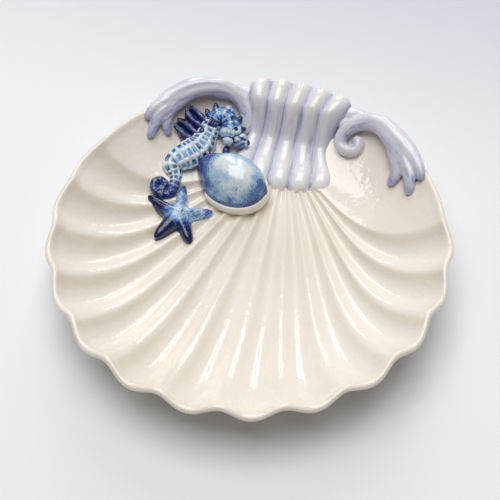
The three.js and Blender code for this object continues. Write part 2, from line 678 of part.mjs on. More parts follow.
const plate = new THREE.Group();
plate.add(
  meshOf("dish", dish, CREAM, GLAZE),
  meshOf("foot_ring", footSolid(), 0xd8cdb8, 0.85),
  meshOf("crown", crown, 0xcfcdd4, GLAZE),
  meshOf("left_scroll", leftScroll, LAVENDER, GLAZE),
  meshOf("right_scroll", rightScroll, LAVENDER, GLAZE),
  meshOf("seahorse_body", body, 0x9fbcd8, GLAZE),
  meshOf("seahorse_head", head, 0x8fb0d2, GLAZE),
  meshOf("seahorse_back_fin", fin, COBALT, GLAZE),
  meshOf("clam_lower_valve", lower, CREAM, GLAZE),
  meshOf("clam_upper_valve", upper, BLUE, GLAZE),
  meshOf("starfish", star, BLUE, GLAZE),
);

const extent = new THREE.Box3().setFromObject(plate);
const footprint = extent.getCenter(new THREE.Vector3());
plate.position.set(-footprint.x, -footprint.y, -extent.min.z);
plate.updateMatrixWorld(true);

const root = new THREE.Group();
root.add(plate);

export default root;
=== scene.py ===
"""Shell plate: a glazed earthenware dish with a fluted crown, leaf scrolls, seahorse, clam and starfish.

Pieces are worked out in millimetres from the middle of the plate, then put into the CAD frame in metres.
"""

import math

import bmesh
import bpy
import numpy as np
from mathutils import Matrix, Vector
from mathutils.bvhtree import BVHTree
from numpy.linalg import norm


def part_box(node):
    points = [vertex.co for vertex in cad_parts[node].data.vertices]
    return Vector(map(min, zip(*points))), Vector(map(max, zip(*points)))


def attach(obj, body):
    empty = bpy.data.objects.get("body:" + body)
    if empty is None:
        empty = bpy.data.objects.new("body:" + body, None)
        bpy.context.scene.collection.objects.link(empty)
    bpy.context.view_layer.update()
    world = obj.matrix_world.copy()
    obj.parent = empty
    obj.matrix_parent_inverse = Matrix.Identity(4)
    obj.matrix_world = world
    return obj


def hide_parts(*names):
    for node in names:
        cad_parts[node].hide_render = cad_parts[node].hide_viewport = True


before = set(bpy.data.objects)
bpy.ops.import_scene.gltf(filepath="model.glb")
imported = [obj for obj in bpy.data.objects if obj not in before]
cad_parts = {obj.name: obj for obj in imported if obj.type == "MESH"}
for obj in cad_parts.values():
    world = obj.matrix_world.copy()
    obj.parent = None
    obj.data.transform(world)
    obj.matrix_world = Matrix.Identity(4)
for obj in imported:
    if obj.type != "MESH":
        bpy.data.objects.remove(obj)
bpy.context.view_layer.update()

MM = 0.001
foot_low, foot_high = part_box("foot_ring")
MIDDLE = np.array([(foot_low.x + foot_high.x) / 2, (foot_low.y + foot_high.y) / 2, 0])

# Dish, in millimetres and degrees
RIM_R = 144.0  # to the notches between the lobes
RIM_Z = 51.5
FLOOR_Z = 14.0
BOWL_POWER = 3.4  # how late the floor turns up into the wall
WALL = 6.0
LIP_SHARE = 0.75  # thickness of the lip, as a share of the wall
BEAD = 0.9  # height of the soft bead along the lip
BEAD_WIDE = 2.4
LOBES = 13
LOBE_OUT = 4.0
FAN = 220.4  # angle that the lobes take up along the rim
FLUTE_RIM = 4.6  # depth of a flute at the rim
FLUTE_SWELL = 1.4  # what is added to it half way
FLUTE_HINGE = 2.0
CREST = 0.9  # bluntness of the crests
FIELD = 0.45  # level of the smooth back, where a channel is 0 and a crest is 1
FIELD_FADE = 1.2  # width of its edge, in flutes

# Lines of the flutes: the hinge as shares of the rim's radius, handles as shares of a line's reach
HINGE_Y = 0.517
HINGE_HALF = 0.258
HINGE_SAG = 0.0085
HINGE_BACK = 0.19
START_FAN = 51.6  # angle at which the outermost flutes leave the hinge
START_EASE = 0.28
LEAVE = 0.46
LEAVE_LESS = 0.13  # taken off at the outermost flutes
ARRIVE = 0.08
ARRIVE_MORE = 0.38  # added at the outermost flutes
ARRIVE_BACK = 0.13  # taken off at the back

# Foot ring
FOOT_R = 64.0
FOOT_WIDTH = 9.0
FOOT_EDGE = 0.3  # radius of its edges, as a share of its width

# Crown
CROWN_FLUTES = 5
CROWN_X = 2.3
CROWN_PITCH = 17.5
CROWN_WAIST = 14.0  # pitch at the waist
CROWN_WAIST_Y = 0.8 * RIM_R
CROWN_WAIST_LONG = 24.0
CROWN_LEAN = 3.0  # how far the waist stands to the left
CROWN_BULB = 10.0  # height over the floor
CROWN_RISE = 10.0  # height over the rim
CROWN_OVERHANG = 11.2
CROWN_CREASE = 5.8
CROWN_ROLL = 0.45  # share of the crease that fills where the heads roll over the rim
CROWN_SEAT = 2.5  # how deep it sits in the dish
HEADS_START = 0.84 * RIM_R
HEADS_FULL = 0.98 * RIM_R

# Scrolls
SCROLL_TIP = 4.6
SCROLL_LEAF = 13.6
LEFT_TIP = 5.8
LEFT_LEAF = 11.5
SCROLL_HIGH = 8.5
SCROLL_LIFT = 7.5
SCROLL_ROOT = 6.6  # radius of the root along the rim
FINGER_SHARE = 0.62  # half width of a finger, as a share of the leaf

# Seahorse
TRUNK_R = 11.6
NECK_R = 8.0
SPIKE_R = NECK_R * 0.42
BODY_LIFT = 5.0
HEAD_LIFT = BODY_LIFT + NECK_R * 0.55
TAIL_R = 4.4
TAIL_TIP = 1.7
COIL_R = 9.2
COIL_IN = 0.82  # share of the coil's radius that it winds in
COIL_TURN = math.radians(390)
COIL_MIDDLE = (-0.597, 0.295)  # shares of the rim's radius
RING_STEP = 4.6
FIN_PLEATS = 4
FIN_HIGH = 11.0
FIN_THICK = 2.6
FIN_WANDER = 1.4  # how far the pleats wander sideways

# Clam
CLAM_MIDDLE = np.array([-0.215, 0.418]) * RIM_R
CLAM_TURN = math.radians(160)
CLAM_LONG = 28.3
CLAM_WIDE = 22.0
CLAM_DOME = 25.0
CLAM_LOW = 8.0  # height of the lower valve
CLAM_TILT = 0.5
CLAM_LIP = 2.2  # how far the lower valve stands out
CLAM_BEAK = 0.25
CLAM_NUB = 0.05
CLAM_NUB_AT = 3.4  # radians from the beak
CLAM_UMBO = 0.04  # lean of the dome towards the beak

# Starfish
STAR_MIDDLE = np.array([-0.449, 0.139]) * RIM_R
STAR_ARMS = 5
STAR_TURN = 28.0
STAR_LEANS = np.array([3.6, 0, -11, 1, -6])
STAR_LEN = 28.0
STAR_LONGEST = math.radians(125)  # heading of the longest arm
STAR_UNEVEN = 0.1
STAR_VALLEY = 12.0
STAR_HIGH = 11.0
STAR_TIP = 5.5
STAR_TONES = np.array([0.12, 0.1, 0.74, 0.8, 0.68])  # how dark each arm is

GLAZE_SINK = 1.5  # how far an applied piece may sink into the dish's glaze
SKY_HIGH = 200.0  # well over the plate

HALF_FAN = LOBES / 2
LOBE_ANGLE = FAN / LOBES
HALF_TURN = 180 / LOBE_ANGLE
FIELD_OUT = LOBE_OUT * (1 - FIELD)


def lerp(a, b, t):
    return a + (b - a) * t


def evenly(count):
    return np.linspace(0, 1, count)


def smooth(x, low, high):
    t = np.clip((x - low) / (high - low), 0, 1)
    return t * t * (3 - 2 * t)


def bell(x, width):
    return np.exp(-((x / width) ** 2))


def unit(v):
    return v / np.maximum(norm(v, axis=-1, keepdims=True), 1e-9)


# Dish surface: flute number n counts flutes from the middle of the front, t runs from hinge to rim.


def crest(n):
    a = np.abs(n)
    s = np.abs(np.sin(np.pi * (a - HALF_FAN)))
    flute = 1 - (np.hypot(s, CREST) - CREST) / (math.hypot(1, CREST) - CREST)
    field = lerp(1, FIELD, smooth(a - HALF_FAN, 0, FIELD_FADE))
    return np.where(a > HALF_FAN, field, flute)


def rim_radius(n):
    return RIM_R + LOBE_OUT * (1 - crest(n))


def bowl(q):
    return FLOOR_Z + (RIM_Z - FLOOR_Z) * q**BOWL_POWER


def bowl_tilt(q):
    return np.arctan(BOWL_POWER * (RIM_Z - FLOOR_Z) * q ** (BOWL_POWER - 1) / RIM_R)


def flute_depth(t):
    return lerp(FLUTE_HINGE, FLUTE_RIM, t) + FLUTE_SWELL * 4 * t * (1 - t)


def heading(angle):
    return np.stack([np.sin(angle), -np.cos(angle)], -1)


def past_fan(n):
    return np.clip((np.abs(n) - HALF_FAN) / (HALF_TURN - HALF_FAN), 0, 1)


def hinge_point(n):
    q = np.minimum(np.abs(n) / HALF_FAN, 1)
    turn = past_fan(n) * np.pi / 2
    x = HINGE_HALF * q * np.cos(turn) * np.sign(n)
    y = HINGE_Y + HINGE_SAG * q**2 + HINGE_BACK * np.sin(turn)
    return np.stack([x, y], -1) * RIM_R


def flute_lines(n, t):
    """Plan points [flute, step, xy] of the lines that the flutes follow from the hinge to the rim."""
    q = np.minimum(np.abs(n) / HALF_FAN, 1)
    back = past_fan(n)
    fan = START_FAN * q * (1 + START_EASE - START_EASE * q * q)
    start = np.radians(lerp(fan, 180, back)) * np.sign(n)
    end = np.radians(LOBE_ANGLE * n)
    a = hinge_point(n)
    d = heading(end) * rim_radius(n)[:, None]
    reach = norm(d - a, axis=-1)
    b = a + heading(start) * (reach * (LEAVE - LEAVE_LESS * q))[:, None]
    c = d - heading(end) * (reach * (ARRIVE + ARRIVE_MORE * q - ARRIVE_BACK * back))[:, None]
    t = t[None, :, None]
    a, b, c, d = (p[:, None, :] for p in (a, b, c, d))
    return a * (1 - t) ** 3 + 3 * b * t * (1 - t) ** 2 + 3 * c * t * t * (1 - t) + d * t**3


def floor_at(x, y):
    q = np.hypot(x, y) / (RIM_R + FIELD_OUT)
    return bowl(q) - lerp(FLUTE_HINGE, FLUTE_RIM, q) * (1 - FIELD)


def floor_normal(p):
    d = 0.5
    x, y = p[..., 0], p[..., 1]
    dx = (floor_at(x + d, y) - floor_at(x - d, y)) / (2 * d)
    dy = (floor_at(x, y + d) - floor_at(x, y - d)) / (2 * d)
    return unit(np.stack([-dx, -dy, np.ones_like(dx)], -1))


def place(fx, fy, lift=0.0):
    x, y = fx * RIM_R, fy * RIM_R
    return np.array([x, y, floor_at(x, y) + lift])


# Meshes


def around(count):
    """Angles of a full turn, as a column."""
    return np.linspace(0, 2 * np.pi, count, endpoint=False)[:, None]


def grid_faces(columns, rows, wrap_columns=True, wrap_rows=False):
    """Quads between neighbours of a grid, which may run on from its last column or row to its first."""
    steps = np.arange(columns if wrap_columns else columns - 1), np.arange(rows if wrap_rows else rows - 1)
    i, j = np.meshgrid(*steps, indexing="ij")
    k, m = (i + 1) % columns, (j + 1) % rows
    quads = np.stack([i * rows + j, k * rows + j, k * rows + m, i * rows + m], -1)
    return quads.reshape(-1, 4).tolist()


def closed_grid(points, first, last):
    """A closed skin from points[column, row] and a pole at each end: its corners and faces."""
    columns, rows = points.shape[:2]
    corners = np.concatenate([points.reshape(-1, 3), [first], [last]])
    faces = grid_faces(columns, rows)
    top, bottom = columns * rows, columns * rows + 1
    for i in range(columns):
        k = (i + 1) % columns
        faces.append([k * rows, i * rows, top])
        faces.append([i * rows + rows - 1, k * rows + rows - 1, bottom])
    return corners, faces


def joined(skins):
    corners, faces, first = [], [], 0
    for points, polygons in skins:
        corners.append(points)
        faces += [[v + first for v in f] for f in polygons]
        first += len(points)
    return np.concatenate(corners), faces


def mesh_of(name, skin):
    corners, faces = skin
    mesh = bpy.data.meshes.new(name)
    mesh.from_pydata((corners * MM + MIDDLE).tolist(), [], faces)
    work = bmesh.new()
    work.from_mesh(mesh)
    bmesh.ops.recalc_face_normals(work, faces=work.faces)
    work.to_mesh(mesh)
    work.free()
    mesh.polygons.foreach_set("use_smooth", np.ones(len(mesh.polygons), bool))
    return mesh


def corners_of(mesh):
    co = np.zeros(len(mesh.vertices) * 3)
    mesh.vertices.foreach_get("co", co)
    return (co.reshape(-1, 3) - MIDDLE) / MM


def sit(mesh, ground):
    """Lifts what would hang far below the glaze of the dish, and hands back the corners."""
    corners = corners_of(mesh)
    for p in corners:
        hit = ground.ray_cast(Vector((p[0], p[1], SKY_HIGH)), Vector((0, 0, -1)))[0]
        if hit is not None:
            p[2] = max(p[2], hit.z - GLAZE_SINK)
    mesh.vertices.foreach_set("co", (corners * MM + MIDDLE).ravel())
    mesh.update()
    return corners


def show(name, data):
    thing = bpy.data.objects.new(name, data)
    bpy.context.scene.collection.objects.link(thing)
    return thing


def fused(name, skins, voxel, passes):
    """One smooth body from closed skins that run into each other."""
    mesh = mesh_of(name + "_skins", joined(skins))
    rough = show(mesh.name, mesh)
    remesh = rough.modifiers.new("fuse", "REMESH")
    remesh.mode = "VOXEL"
    remesh.voxel_size = voxel * MM
    soften = rough.modifiers.new("soften", "SMOOTH")
    soften.factor = 0.5
    soften.iterations = passes
    whole = bpy.data.meshes.new_from_object(rough.evaluated_get(bpy.context.evaluated_depsgraph_get()))
    whole.name = name
    bpy.data.objects.remove(rough)
    bpy.data.meshes.remove(mesh)
    whole.polygons.foreach_set("use_smooth", np.ones(len(whole.polygons), bool))
    return whole


def value(mesh, name, numbers, poles=()):
    """A number at each corner, for the glaze to read; a closed grid has two poles after its points."""
    layer = mesh.attributes.new(name, "FLOAT", "POINT")
    layer.data.foreach_set("value", np.append(np.ravel(numbers), poles).astype(np.float32))


def flow(mesh, numbers):
    """Coordinates that run with the brush: along, across and up."""
    layer = mesh.attributes.new("flow", "FLOAT_VECTOR", "POINT")
    layer.data.foreach_set("vector", np.asarray(numbers, np.float32).ravel())


def hollows(mesh, corners, passes, full):
    """How deep each corner lies in a groove: 0 on open ground, 1 where it is sunk by the full amount."""
    ends = np.zeros(len(mesh.edges) * 2, int)
    mesh.edges.foreach_get("vertices", ends)
    a, b = ends.reshape(-1, 2).T
    count = np.bincount(a, minlength=len(corners)) + np.bincount(b, minlength=len(corners))
    even = corners.copy()
    for _ in range(passes):
        total = np.zeros_like(even)
        np.add.at(total, a, even[b])
        np.add.at(total, b, even[a])
        even = total / np.maximum(count, 1)[:, None]
    normal = np.zeros(len(mesh.vertices) * 3)
    mesh.vertices.foreach_get("normal", normal)
    sunk = ((even - corners) * normal.reshape(-1, 3)).sum(1)
    return np.clip(sunk / full, 0, 1)


def piece(mesh, material, node):
    shown = show(mesh.name, mesh)
    mesh.materials.append(material)
    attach(shown, "root")
    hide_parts(node)


def curve(points, count):
    """Evenly spaced points on a smooth line through the given ones."""
    p = np.array(points, float)
    p = np.concatenate([[2 * p[0] - p[1]], p, [2 * p[-1] - p[-2]]])
    dense = []
    for k in range(1, len(p) - 2):
        steps = norm(np.diff(p[k - 1 : k + 3], axis=0), axis=1) ** 0.5
        knots = np.concatenate([[0], np.cumsum(steps)])
        u = np.linspace(knots[1], knots[2], 40, endpoint=False)[:, None]
        layer = [p[k - 1 + m] for m in range(4)]
        for width in (1, 2, 3):
            upper = []
            for m in range(4 - width):
                low, high = (knots[m], knots[m + width]) if width < 3 else (knots[1], knots[2])
                upper.append(layer[m] * (high - u) / (high - low) + layer[m + 1] * (u - low) / (high - low))
            layer = upper
        dense.append(layer[0])
    dense = np.concatenate(dense + [p[-2][None]])
    run = np.concatenate([[0], np.cumsum(norm(np.diff(dense, axis=0), axis=1))])
    even = np.linspace(0, run[-1], count)
    return np.stack([np.interp(even, run, dense[:, k]) for k in range(3)], -1)


def length_of(line):
    return float(norm(np.diff(line, axis=0), axis=1).sum())


def round_ends(s, first, last):
    """Thickness from 0 to 1 of a band with round ends that take up these shares of its length."""
    a = np.clip(s / first, 0, 1)
    b = np.clip((1 - s) / last, 0, 1)
    return np.sqrt(np.maximum(1 - (1 - a) ** 2, 0)) * np.sqrt(np.maximum(1 - (1 - b) ** 2, 0))


def tube_points(line, half, high, sides, shape=None):
    """Points [side, step] of a rounded band along a line, from its right edge over its top."""
    s = evenly(len(line))
    t = unit(np.gradient(line, axis=0))
    out = unit(np.cross(t, floor_normal(line)))
    top = unit(np.cross(out, t))
    angle = around(sides)
    k = np.ones((sides, len(line))) if shape is None else shape(angle, s[None, :])
    wide = (half * k * np.cos(angle))[..., None] * out[None]
    tall = (high * k * np.sin(angle))[..., None] * top[None]
    return line[None] + wide + tall


def tube(line, half, high, sides, shape=None):
    points = tube_points(line, half, high, sides, shape)
    return closed_grid(points[:, 1:-1], line[0], line[-1])


def ball(centre, rx, ry, rz, turn=0.0):
    u = around(24)
    v = np.linspace(0, np.pi, 13)[None, 1:-1]
    x, y, z = rx * np.cos(u) * np.sin(v), ry * np.sin(u) * np.sin(v), rz * np.cos(v) + 0 * u
    c, s = math.cos(turn), math.sin(turn)
    points = np.stack([x * c - y * s, x * s + y * c, z], -1) + centre
    return closed_grid(points, centre + [0, 0, rz], centre - [0, 0, rz])


def spike(base, tip, radius):
    s = evenly(14)
    line = base[None] + (tip - base)[None] * s[:, None]
    size = radius * lerp(1, 0.5, s) * round_ends(s, 0.1, 0.3)
    return tube(line, size, size, 14)


def nearest(line, points):
    """For each point: the share of the line at its nearest place, and that place."""
    best = np.full(len(points), np.inf)
    at = np.zeros(len(points), int)
    for k, p in enumerate(line):
        d = ((points - p) ** 2).sum(1)
        closer = d < best
        best[closer] = d[closer]
        at[closer] = k
    return at / (len(line) - 1), line[at]


# Glazes


def rgb(r, g, b):
    """An everyday screen colour, as the shader's own numbers."""
    c = np.array([r, g, b]) / 255
    c = np.where(c <= 0.04045, c / 12.92, ((c + 0.055) / 1.055) ** 2.4)
    return (float(c[0]), float(c[1]), float(c[2]), 1.0)


class Glaze:
    """A glossy fired surface. Its methods add nodes and hand back their outputs."""

    def __init__(self, name, roughness=0.1):
        self.material = bpy.data.materials.new(name)
        self.material.use_nodes = True
        self.nodes = self.material.node_tree.nodes
        self.links = self.material.node_tree.links
        self.shader = self.nodes["Principled BSDF"]
        self.fill(self.shader, {"Roughness": roughness, "IOR": 1.62})
        self.place = self.node("TexCoord", {}).outputs["Object"]

    def fill(self, node, inputs):
        """Sets each input of a node to a number or colour, or links it to another node's output."""
        for name, what in inputs.items():
            if isinstance(what, bpy.types.NodeSocket):
                self.links.new(what, node.inputs[name])
            else:
                node.inputs[name].default_value = what

    def node(self, kind, inputs, **settings):
        node = self.nodes.new("ShaderNode" + kind)
        for name, what in settings.items():
            setattr(node, name, what)
        self.fill(node, inputs)
        return node

    def attribute(self, name, output="Fac"):
        return self.node("Attribute", {}, attribute_name=name).outputs[output]

    def noise(self, scale, detail=3.0, where=None, stretch=(1, 1, 1)):
        turn = self.node("Mapping", {"Scale": stretch, "Vector": where or self.place})
        inputs = {"Scale": scale, "Detail": detail, "Vector": turn.outputs["Vector"]}
        return self.node("TexNoise", inputs).outputs["Fac"]

    def sum(self, operation, a, b):
        return self.node("Math", {0: a, 1: b}, operation=operation).outputs[0]

    def plus(self, a, b):
        return self.sum("ADD", a, b)

    def times(self, a, b):
        return self.sum("MULTIPLY", a, b)

    def around_0(self, noise, amount):
        """A noise that goes as far down as up."""
        return self.times(self.sum("SUBTRACT", noise, 0.5), amount)

    def span(self, what, low, high):
        inputs = {"Value": what, "From Min": low, "From Max": high}
        return self.node("MapRange", inputs, interpolation_type="SMOOTHSTEP").outputs["Result"]

    def ramp(self, share, *stops):
        node = self.node("ValToRGB", {"Fac": share})
        node.color_ramp.interpolation = "EASE"
        points = node.color_ramp.elements
        while len(points) < len(stops):
            points.new(0.5)
        for point, (at, colour) in zip(points, stops):
            point.position = at
            point.color = colour
        return node.outputs["Color"]

    def mix(self, share, a, b):
        return self.node("Mix", {"Factor": share, 6: a, 7: b}, data_type="RGBA").outputs[2]

    def colour(self, what):
        self.fill(self.shader, {"Base Color": what})

    def ripple(self, scale, depth, fine_scale, fine_depth):
        """A slow waviness in the glaze and a finer one over it; depths in millimetres."""
        slow = self.node("Bump", {"Distance": depth * MM, "Height": self.noise(scale, 2.0)})
        fine = self.node("Bump", {"Distance": fine_depth * MM, "Height": self.noise(fine_scale, 2.0)})
        self.fill(fine, {"Normal": slow.outputs["Normal"]})
        self.fill(self.shader, {"Normal": fine.outputs["Normal"]})

    def gloss(self, low, high, scale):
        """A roughness that changes from place to place."""
        rough = self.node("MapRange", {"To Min": low, "To Max": high, "Value": self.noise(scale)})
        self.fill(self.shader, {"Roughness": rough.outputs["Result"]})


CREAM = rgb(243, 235, 222)
IVORY = rgb(247, 240, 230)
BEIGE = rgb(218, 204, 182)
CLAY = rgb(196, 180, 152)
PALE_CLAY = rgb(224, 213, 190)
GRIT = rgb(150, 132, 104)
MIST = rgb(248, 246, 246)
LILAC = rgb(234, 232, 239)
LAVENDER = rgb(214, 213, 227)
VIOLET = rgb(157, 158, 197)
SOFT_VIOLET = rgb(171, 172, 202)
TIP_VIOLET = rgb(140, 143, 190)
WARM_GREY = rgb(236, 230, 220)
FOAM = rgb(226, 236, 240)
SKY = rgb(168, 200, 226)
BLUE = rgb(84, 124, 186)
SPECK = rgb(30, 36, 84)
CLAM_DEEP = rgb(62, 70, 150)
STAR_DEEP = rgb(20, 27, 78)
WASH = rgb(30, 44, 108), rgb(80, 120, 184), rgb(120, 176, 210)
RING = rgb(176, 208, 228), rgb(234, 242, 245)
CHEEK = rgb(200, 204, 226)
COBALT = rgb(44, 60, 136)
NIGHT = rgb(24, 26, 78)
FIN_NIGHT = rgb(14, 16, 54)
FIN_COBALT = rgb(34, 44, 116)
# pale painted highlight along the fin's crests
FIN_CREST_HIGHLIGHT = rgb(150, 156, 212)
PAPER = rgb(239, 240, 244), rgb(243, 244, 247)
# painted shade on the floor behind the plate
FAR_PAPER_SHADE = rgb(212, 216, 223)


def cream_glaze():
    g = Glaze("cream_glaze")
    body = g.ramp(g.noise(14, 5), (0.35, CREAM), (0.7, IVORY))
    # Painted shade and tint: beige mixed in where the dish is marked, broken up by noise.
    tint_and_painted_shade = g.times(g.attribute("tint_and_painted_shade"), g.span(g.noise(40, 4), 0.0, 0.55))
    warm = g.mix(g.times(tint_and_painted_shade, 0.85), body, BEIGE)
    fleck = g.span(g.noise(900, 1), 0.72, 0.8)
    g.colour(g.mix(g.times(fleck, 0.25), warm, BEIGE))
    g.ripple(190, 0.38, 430, 0.12)
    g.gloss(0.02, 0.06, 60)
    return g.material


def bare_clay():
    g = Glaze("bare_clay", 0.85)
    body = g.ramp(g.noise(260, 6), (0.3, CLAY), (0.7, PALE_CLAY))
    grit = g.span(g.noise(1400, 1), 0.66, 0.74)
    g.colour(g.mix(g.times(grit, 0.5), body, GRIT))
    g.ripple(1200, 0.1, 2600, 0.05)
    return g.material


def crown_glaze():
    g = Glaze("crown_glaze")
    run = g.attribute("flow", "Vector")
    streak = g.noise(1, 4, run, (0.035, 0.42, 1))
    back = g.plus(g.attribute("flute"), g.around_0(streak, 1.1))
    body = g.ramp(back, (0.0, SOFT_VIOLET), (0.2, LAVENDER), (0.55, LILAC), (0.95, MIST))
    g.colour(g.mix(g.times(g.attribute("warm"), 0.75), body, WARM_GREY))
    g.ripple(140, 0.1, 500, 0.02)
    g.gloss(0.05, 0.13, 60)
    return g.material


def lavender_glaze():
    g = Glaze("lavender_glaze")
    run = g.attribute("flow", "Vector")
    streak = g.noise(1, 4, run, (0.03, 0.3, 0.3))
    fine = g.noise(1, 3, run, (0.05, 1.1, 1.1))
    brush = g.plus(g.times(streak, 0.7), g.times(fine, 0.3))
    level = g.plus(brush, g.attribute("light"))
    body = g.ramp(level, (0.2, VIOLET), (0.42, LAVENDER), (0.66, LILAC), (0.9, MIST))
    g.colour(g.mix(g.times(g.attribute("tip"), 0.5), body, TIP_VIOLET))
    g.ripple(140, 0.1, 500, 0.02)
    g.gloss(0.05, 0.13, 60)
    return g.material


def seahorse_glaze():
    g = Glaze("seahorse_glaze")
    wash = g.ramp(g.noise(230, 4), (0.34, WASH[0]), (0.47, WASH[1]), (0.62, WASH[2]))
    blotch = g.around_0(g.noise(420, 2), 0.8)
    relief = g.span(g.plus(g.attribute("relief"), blotch), 0.15, 0.6)
    body = g.mix(relief, wash, g.ramp(g.noise(260, 3), (0.3, RING[0]), (0.52, RING[1])))
    dark = g.times(g.attribute("dark"), g.span(g.noise(300, 3), 0.15, 0.45))
    inked = g.mix(dark, body, g.ramp(g.noise(420, 3), (0.35, NIGHT), (0.7, COBALT)))
    g.colour(g.mix(g.attribute("pale"), inked, CHEEK))
    g.ripple(300, 0.06, 900, 0.015)
    g.gloss(0.05, 0.12, 120)
    return g.material


def cobalt_glaze():
    g = Glaze("cobalt_glaze")
    wash = g.ramp(g.noise(260, 4), (0.3, FIN_NIGHT), (0.68, FIN_COBALT))
    # Painted highlight: a pale colour along the crests that the fin marks as relief, broken up by noise.
    high = g.times(g.attribute("relief"), g.span(g.noise(340, 3), 0.25, 0.6))
    g.colour(g.mix(high, wash, FIN_CREST_HIGHLIGHT))
    g.ripple(300, 0.06, 900, 0.015)
    g.gloss(0.05, 0.12, 120)
    return g.material


def blue_glaze(name, deep, mottle, wavy):
    """Blue in clouds and specks, with its darkest tone and the depth of its ripples in millimetres."""
    g = Glaze(name)
    cloud = g.around_0(g.noise(75, 6), 1.3)
    grain = g.around_0(g.noise(430, 3), mottle)
    level = g.plus(g.attribute("depth"), g.plus(cloud, grain))
    body = g.ramp(level, (0.05, FOAM), (0.35, SKY), (0.62, BLUE), (0.95, deep))
    spot = g.span(g.noise(950, 2), 0.54, 0.62)
    many = g.span(g.plus(g.attribute("depth"), g.noise(110, 3)), 0.64, 1.0)
    specks = g.times(spot, g.times(many, 0.85))
    g.colour(g.mix(specks, body, SPECK))
    g.ripple(260, wavy, 700, 0.2 * wavy)
    g.gloss(0.05, 0.13, 80)
    return g.material


# Dish and foot

FLUTE_COLUMNS = 24
FIELD_COLUMNS = 64
TOP_ROWS = 120
LIP_ROWS = 10
UNDER_ROWS = 44
FIELD_SPREAD = 1.3  # above 1, the field's columns crowd towards the flutes


def under_points(n, plan, t):
    """The outer face: smooth over the foot, fluted towards the rim."""
    r = norm(plan, axis=-1)
    share = smooth(r / RIM_R, 0.5, 1)
    q = r / lerp(RIM_R, rim_radius(n)[:, None], share)
    tilt = bowl_tilt(q)
    wall = WALL * lerp(1, LIP_SHARE, smooth(q, 0.8, 1))
    out = plan * (1 + wall * np.sin(tilt) / np.maximum(r, 1))[..., None]
    depth = lerp(flute_depth(r / RIM_R), flute_depth(t)[None] * (1 - crest(n))[:, None], share)
    return np.concatenate([out, (bowl(q) - depth - wall * np.cos(tilt))[..., None]], -1)


AWAY_FROM_LIGHT = np.array([0.35, -0.94])  # plan direction facing away from the light, towards the front and right: flanks that lean this way get painted shade
# Shares of beige in the cream glaze: darker in the channels towards the hinge, and painted shade on the lip,
# the underside and the flanks that face away from the light.
HINGE_CHANNEL_DARKENING = 0.15
LIP_PAINTED_SHADE = 0.8
FLANK_PAINTED_SHADE = 0.5


def flute_lean(top, q):
    """How far the flutes lean the surface away from the plain bowl, as a slope in plan."""
    along, across = np.gradient(top, axis=1), np.gradient(top, axis=0)
    normal = np.cross(along, across)
    normal *= np.sign(normal[..., 2:])
    slope = normal[..., :2] / np.maximum(normal[..., 2:], 1e-6)
    outward = top[..., :2] / np.maximum(norm(top[..., :2], axis=-1, keepdims=True), 1)
    return slope + outward * np.tan(bowl_tilt(q))[..., None]


def build_dish(material):
    side = lerp(HALF_FAN, HALF_TURN, evenly(FIELD_COLUMNS + 1)[1:] ** FIELD_SPREAD)
    n = np.concatenate([-side[::-1], np.linspace(-HALF_FAN, HALF_FAN, LOBES * FLUTE_COLUMNS + 1), side[:-1]])
    t = evenly(TOP_ROWS)
    plan = flute_lines(n, t)
    q = norm(plan, axis=-1) / rim_radius(n)[:, None]
    z = bowl(q) - flute_depth(t)[None] * (1 - crest(n))[:, None]
    z += BEAD * bell((1 - q) * RIM_R, BEAD_WIDE)
    top = np.concatenate([plan, z[..., None]], -1)
    back = np.linspace(1, 0, UNDER_ROWS)
    under = under_points(n, flute_lines(n, back), back)
    middle = (top[:, -1] + under[:, 0]) / 2
    across = top[:, -1] - under[:, 0]
    half = norm(across, axis=-1, keepdims=True) / 2
    across = unit(across)
    outward = unit(top[:, -1] * [1, 1, 0])
    along = unit(outward - across * (across * outward).sum(-1, keepdims=True))
    turn = np.linspace(0, np.pi, LIP_ROWS + 2)[1:-1][None, :, None]
    lip = middle[:, None] + half[:, None] * (across[:, None] * np.cos(turn) + along[:, None] * np.sin(turn))
    points = np.concatenate([top, lip, under], 1)
    pole = np.array([0, (HINGE_Y + HINGE_BACK / 3) * RIM_R])
    level = bowl(pole[1] / RIM_R) - FLUTE_HINGE * 0.5
    skin = closed_grid(points, np.append(pole, level), np.append(pole, level - WALL - FLUTE_HINGE * 0.5))
    mesh = mesh_of("dish_glazed", skin)
    channel = (1 - crest(n))[:, None] * np.ones(points.shape[1])[None]
    run = np.concatenate([t, np.ones(LIP_ROWS), back])[None]
    row = np.arange(points.shape[1])
    # Darker in the channels towards the hinge.
    tint_and_painted_shade = channel * HINGE_CHANNEL_DARKENING * bell(run, 0.3)
    # Painted shade: beige on the lip's outer half and on all of the underside.
    tint_and_painted_shade = tint_and_painted_shade + LIP_PAINTED_SHADE * smooth(row, TOP_ROWS + 2, TOP_ROWS + LIP_ROWS)
    from_crest = np.abs((n - HALF_FAN + 0.5) % 1 - 0.5)[:, None]
    # Painted shade: beige on the flanks beside each crest that lean away from the light.
    lean = smooth(flute_lean(top, q) @ AWAY_FROM_LIGHT, 0.05, 0.35)
    tint_and_painted_shade[:, :TOP_ROWS] += FLANK_PAINTED_SHADE * lean * (1 - smooth(from_crest, 0.12, 0.36))
    value(mesh, "tint_and_painted_shade", np.clip(tint_and_painted_shade, 0, 1), [0.3, 0.3])
    piece(mesh, material, "dish")
    return BVHTree.FromPolygons([tuple(c) for c in skin[0]], skin[1])


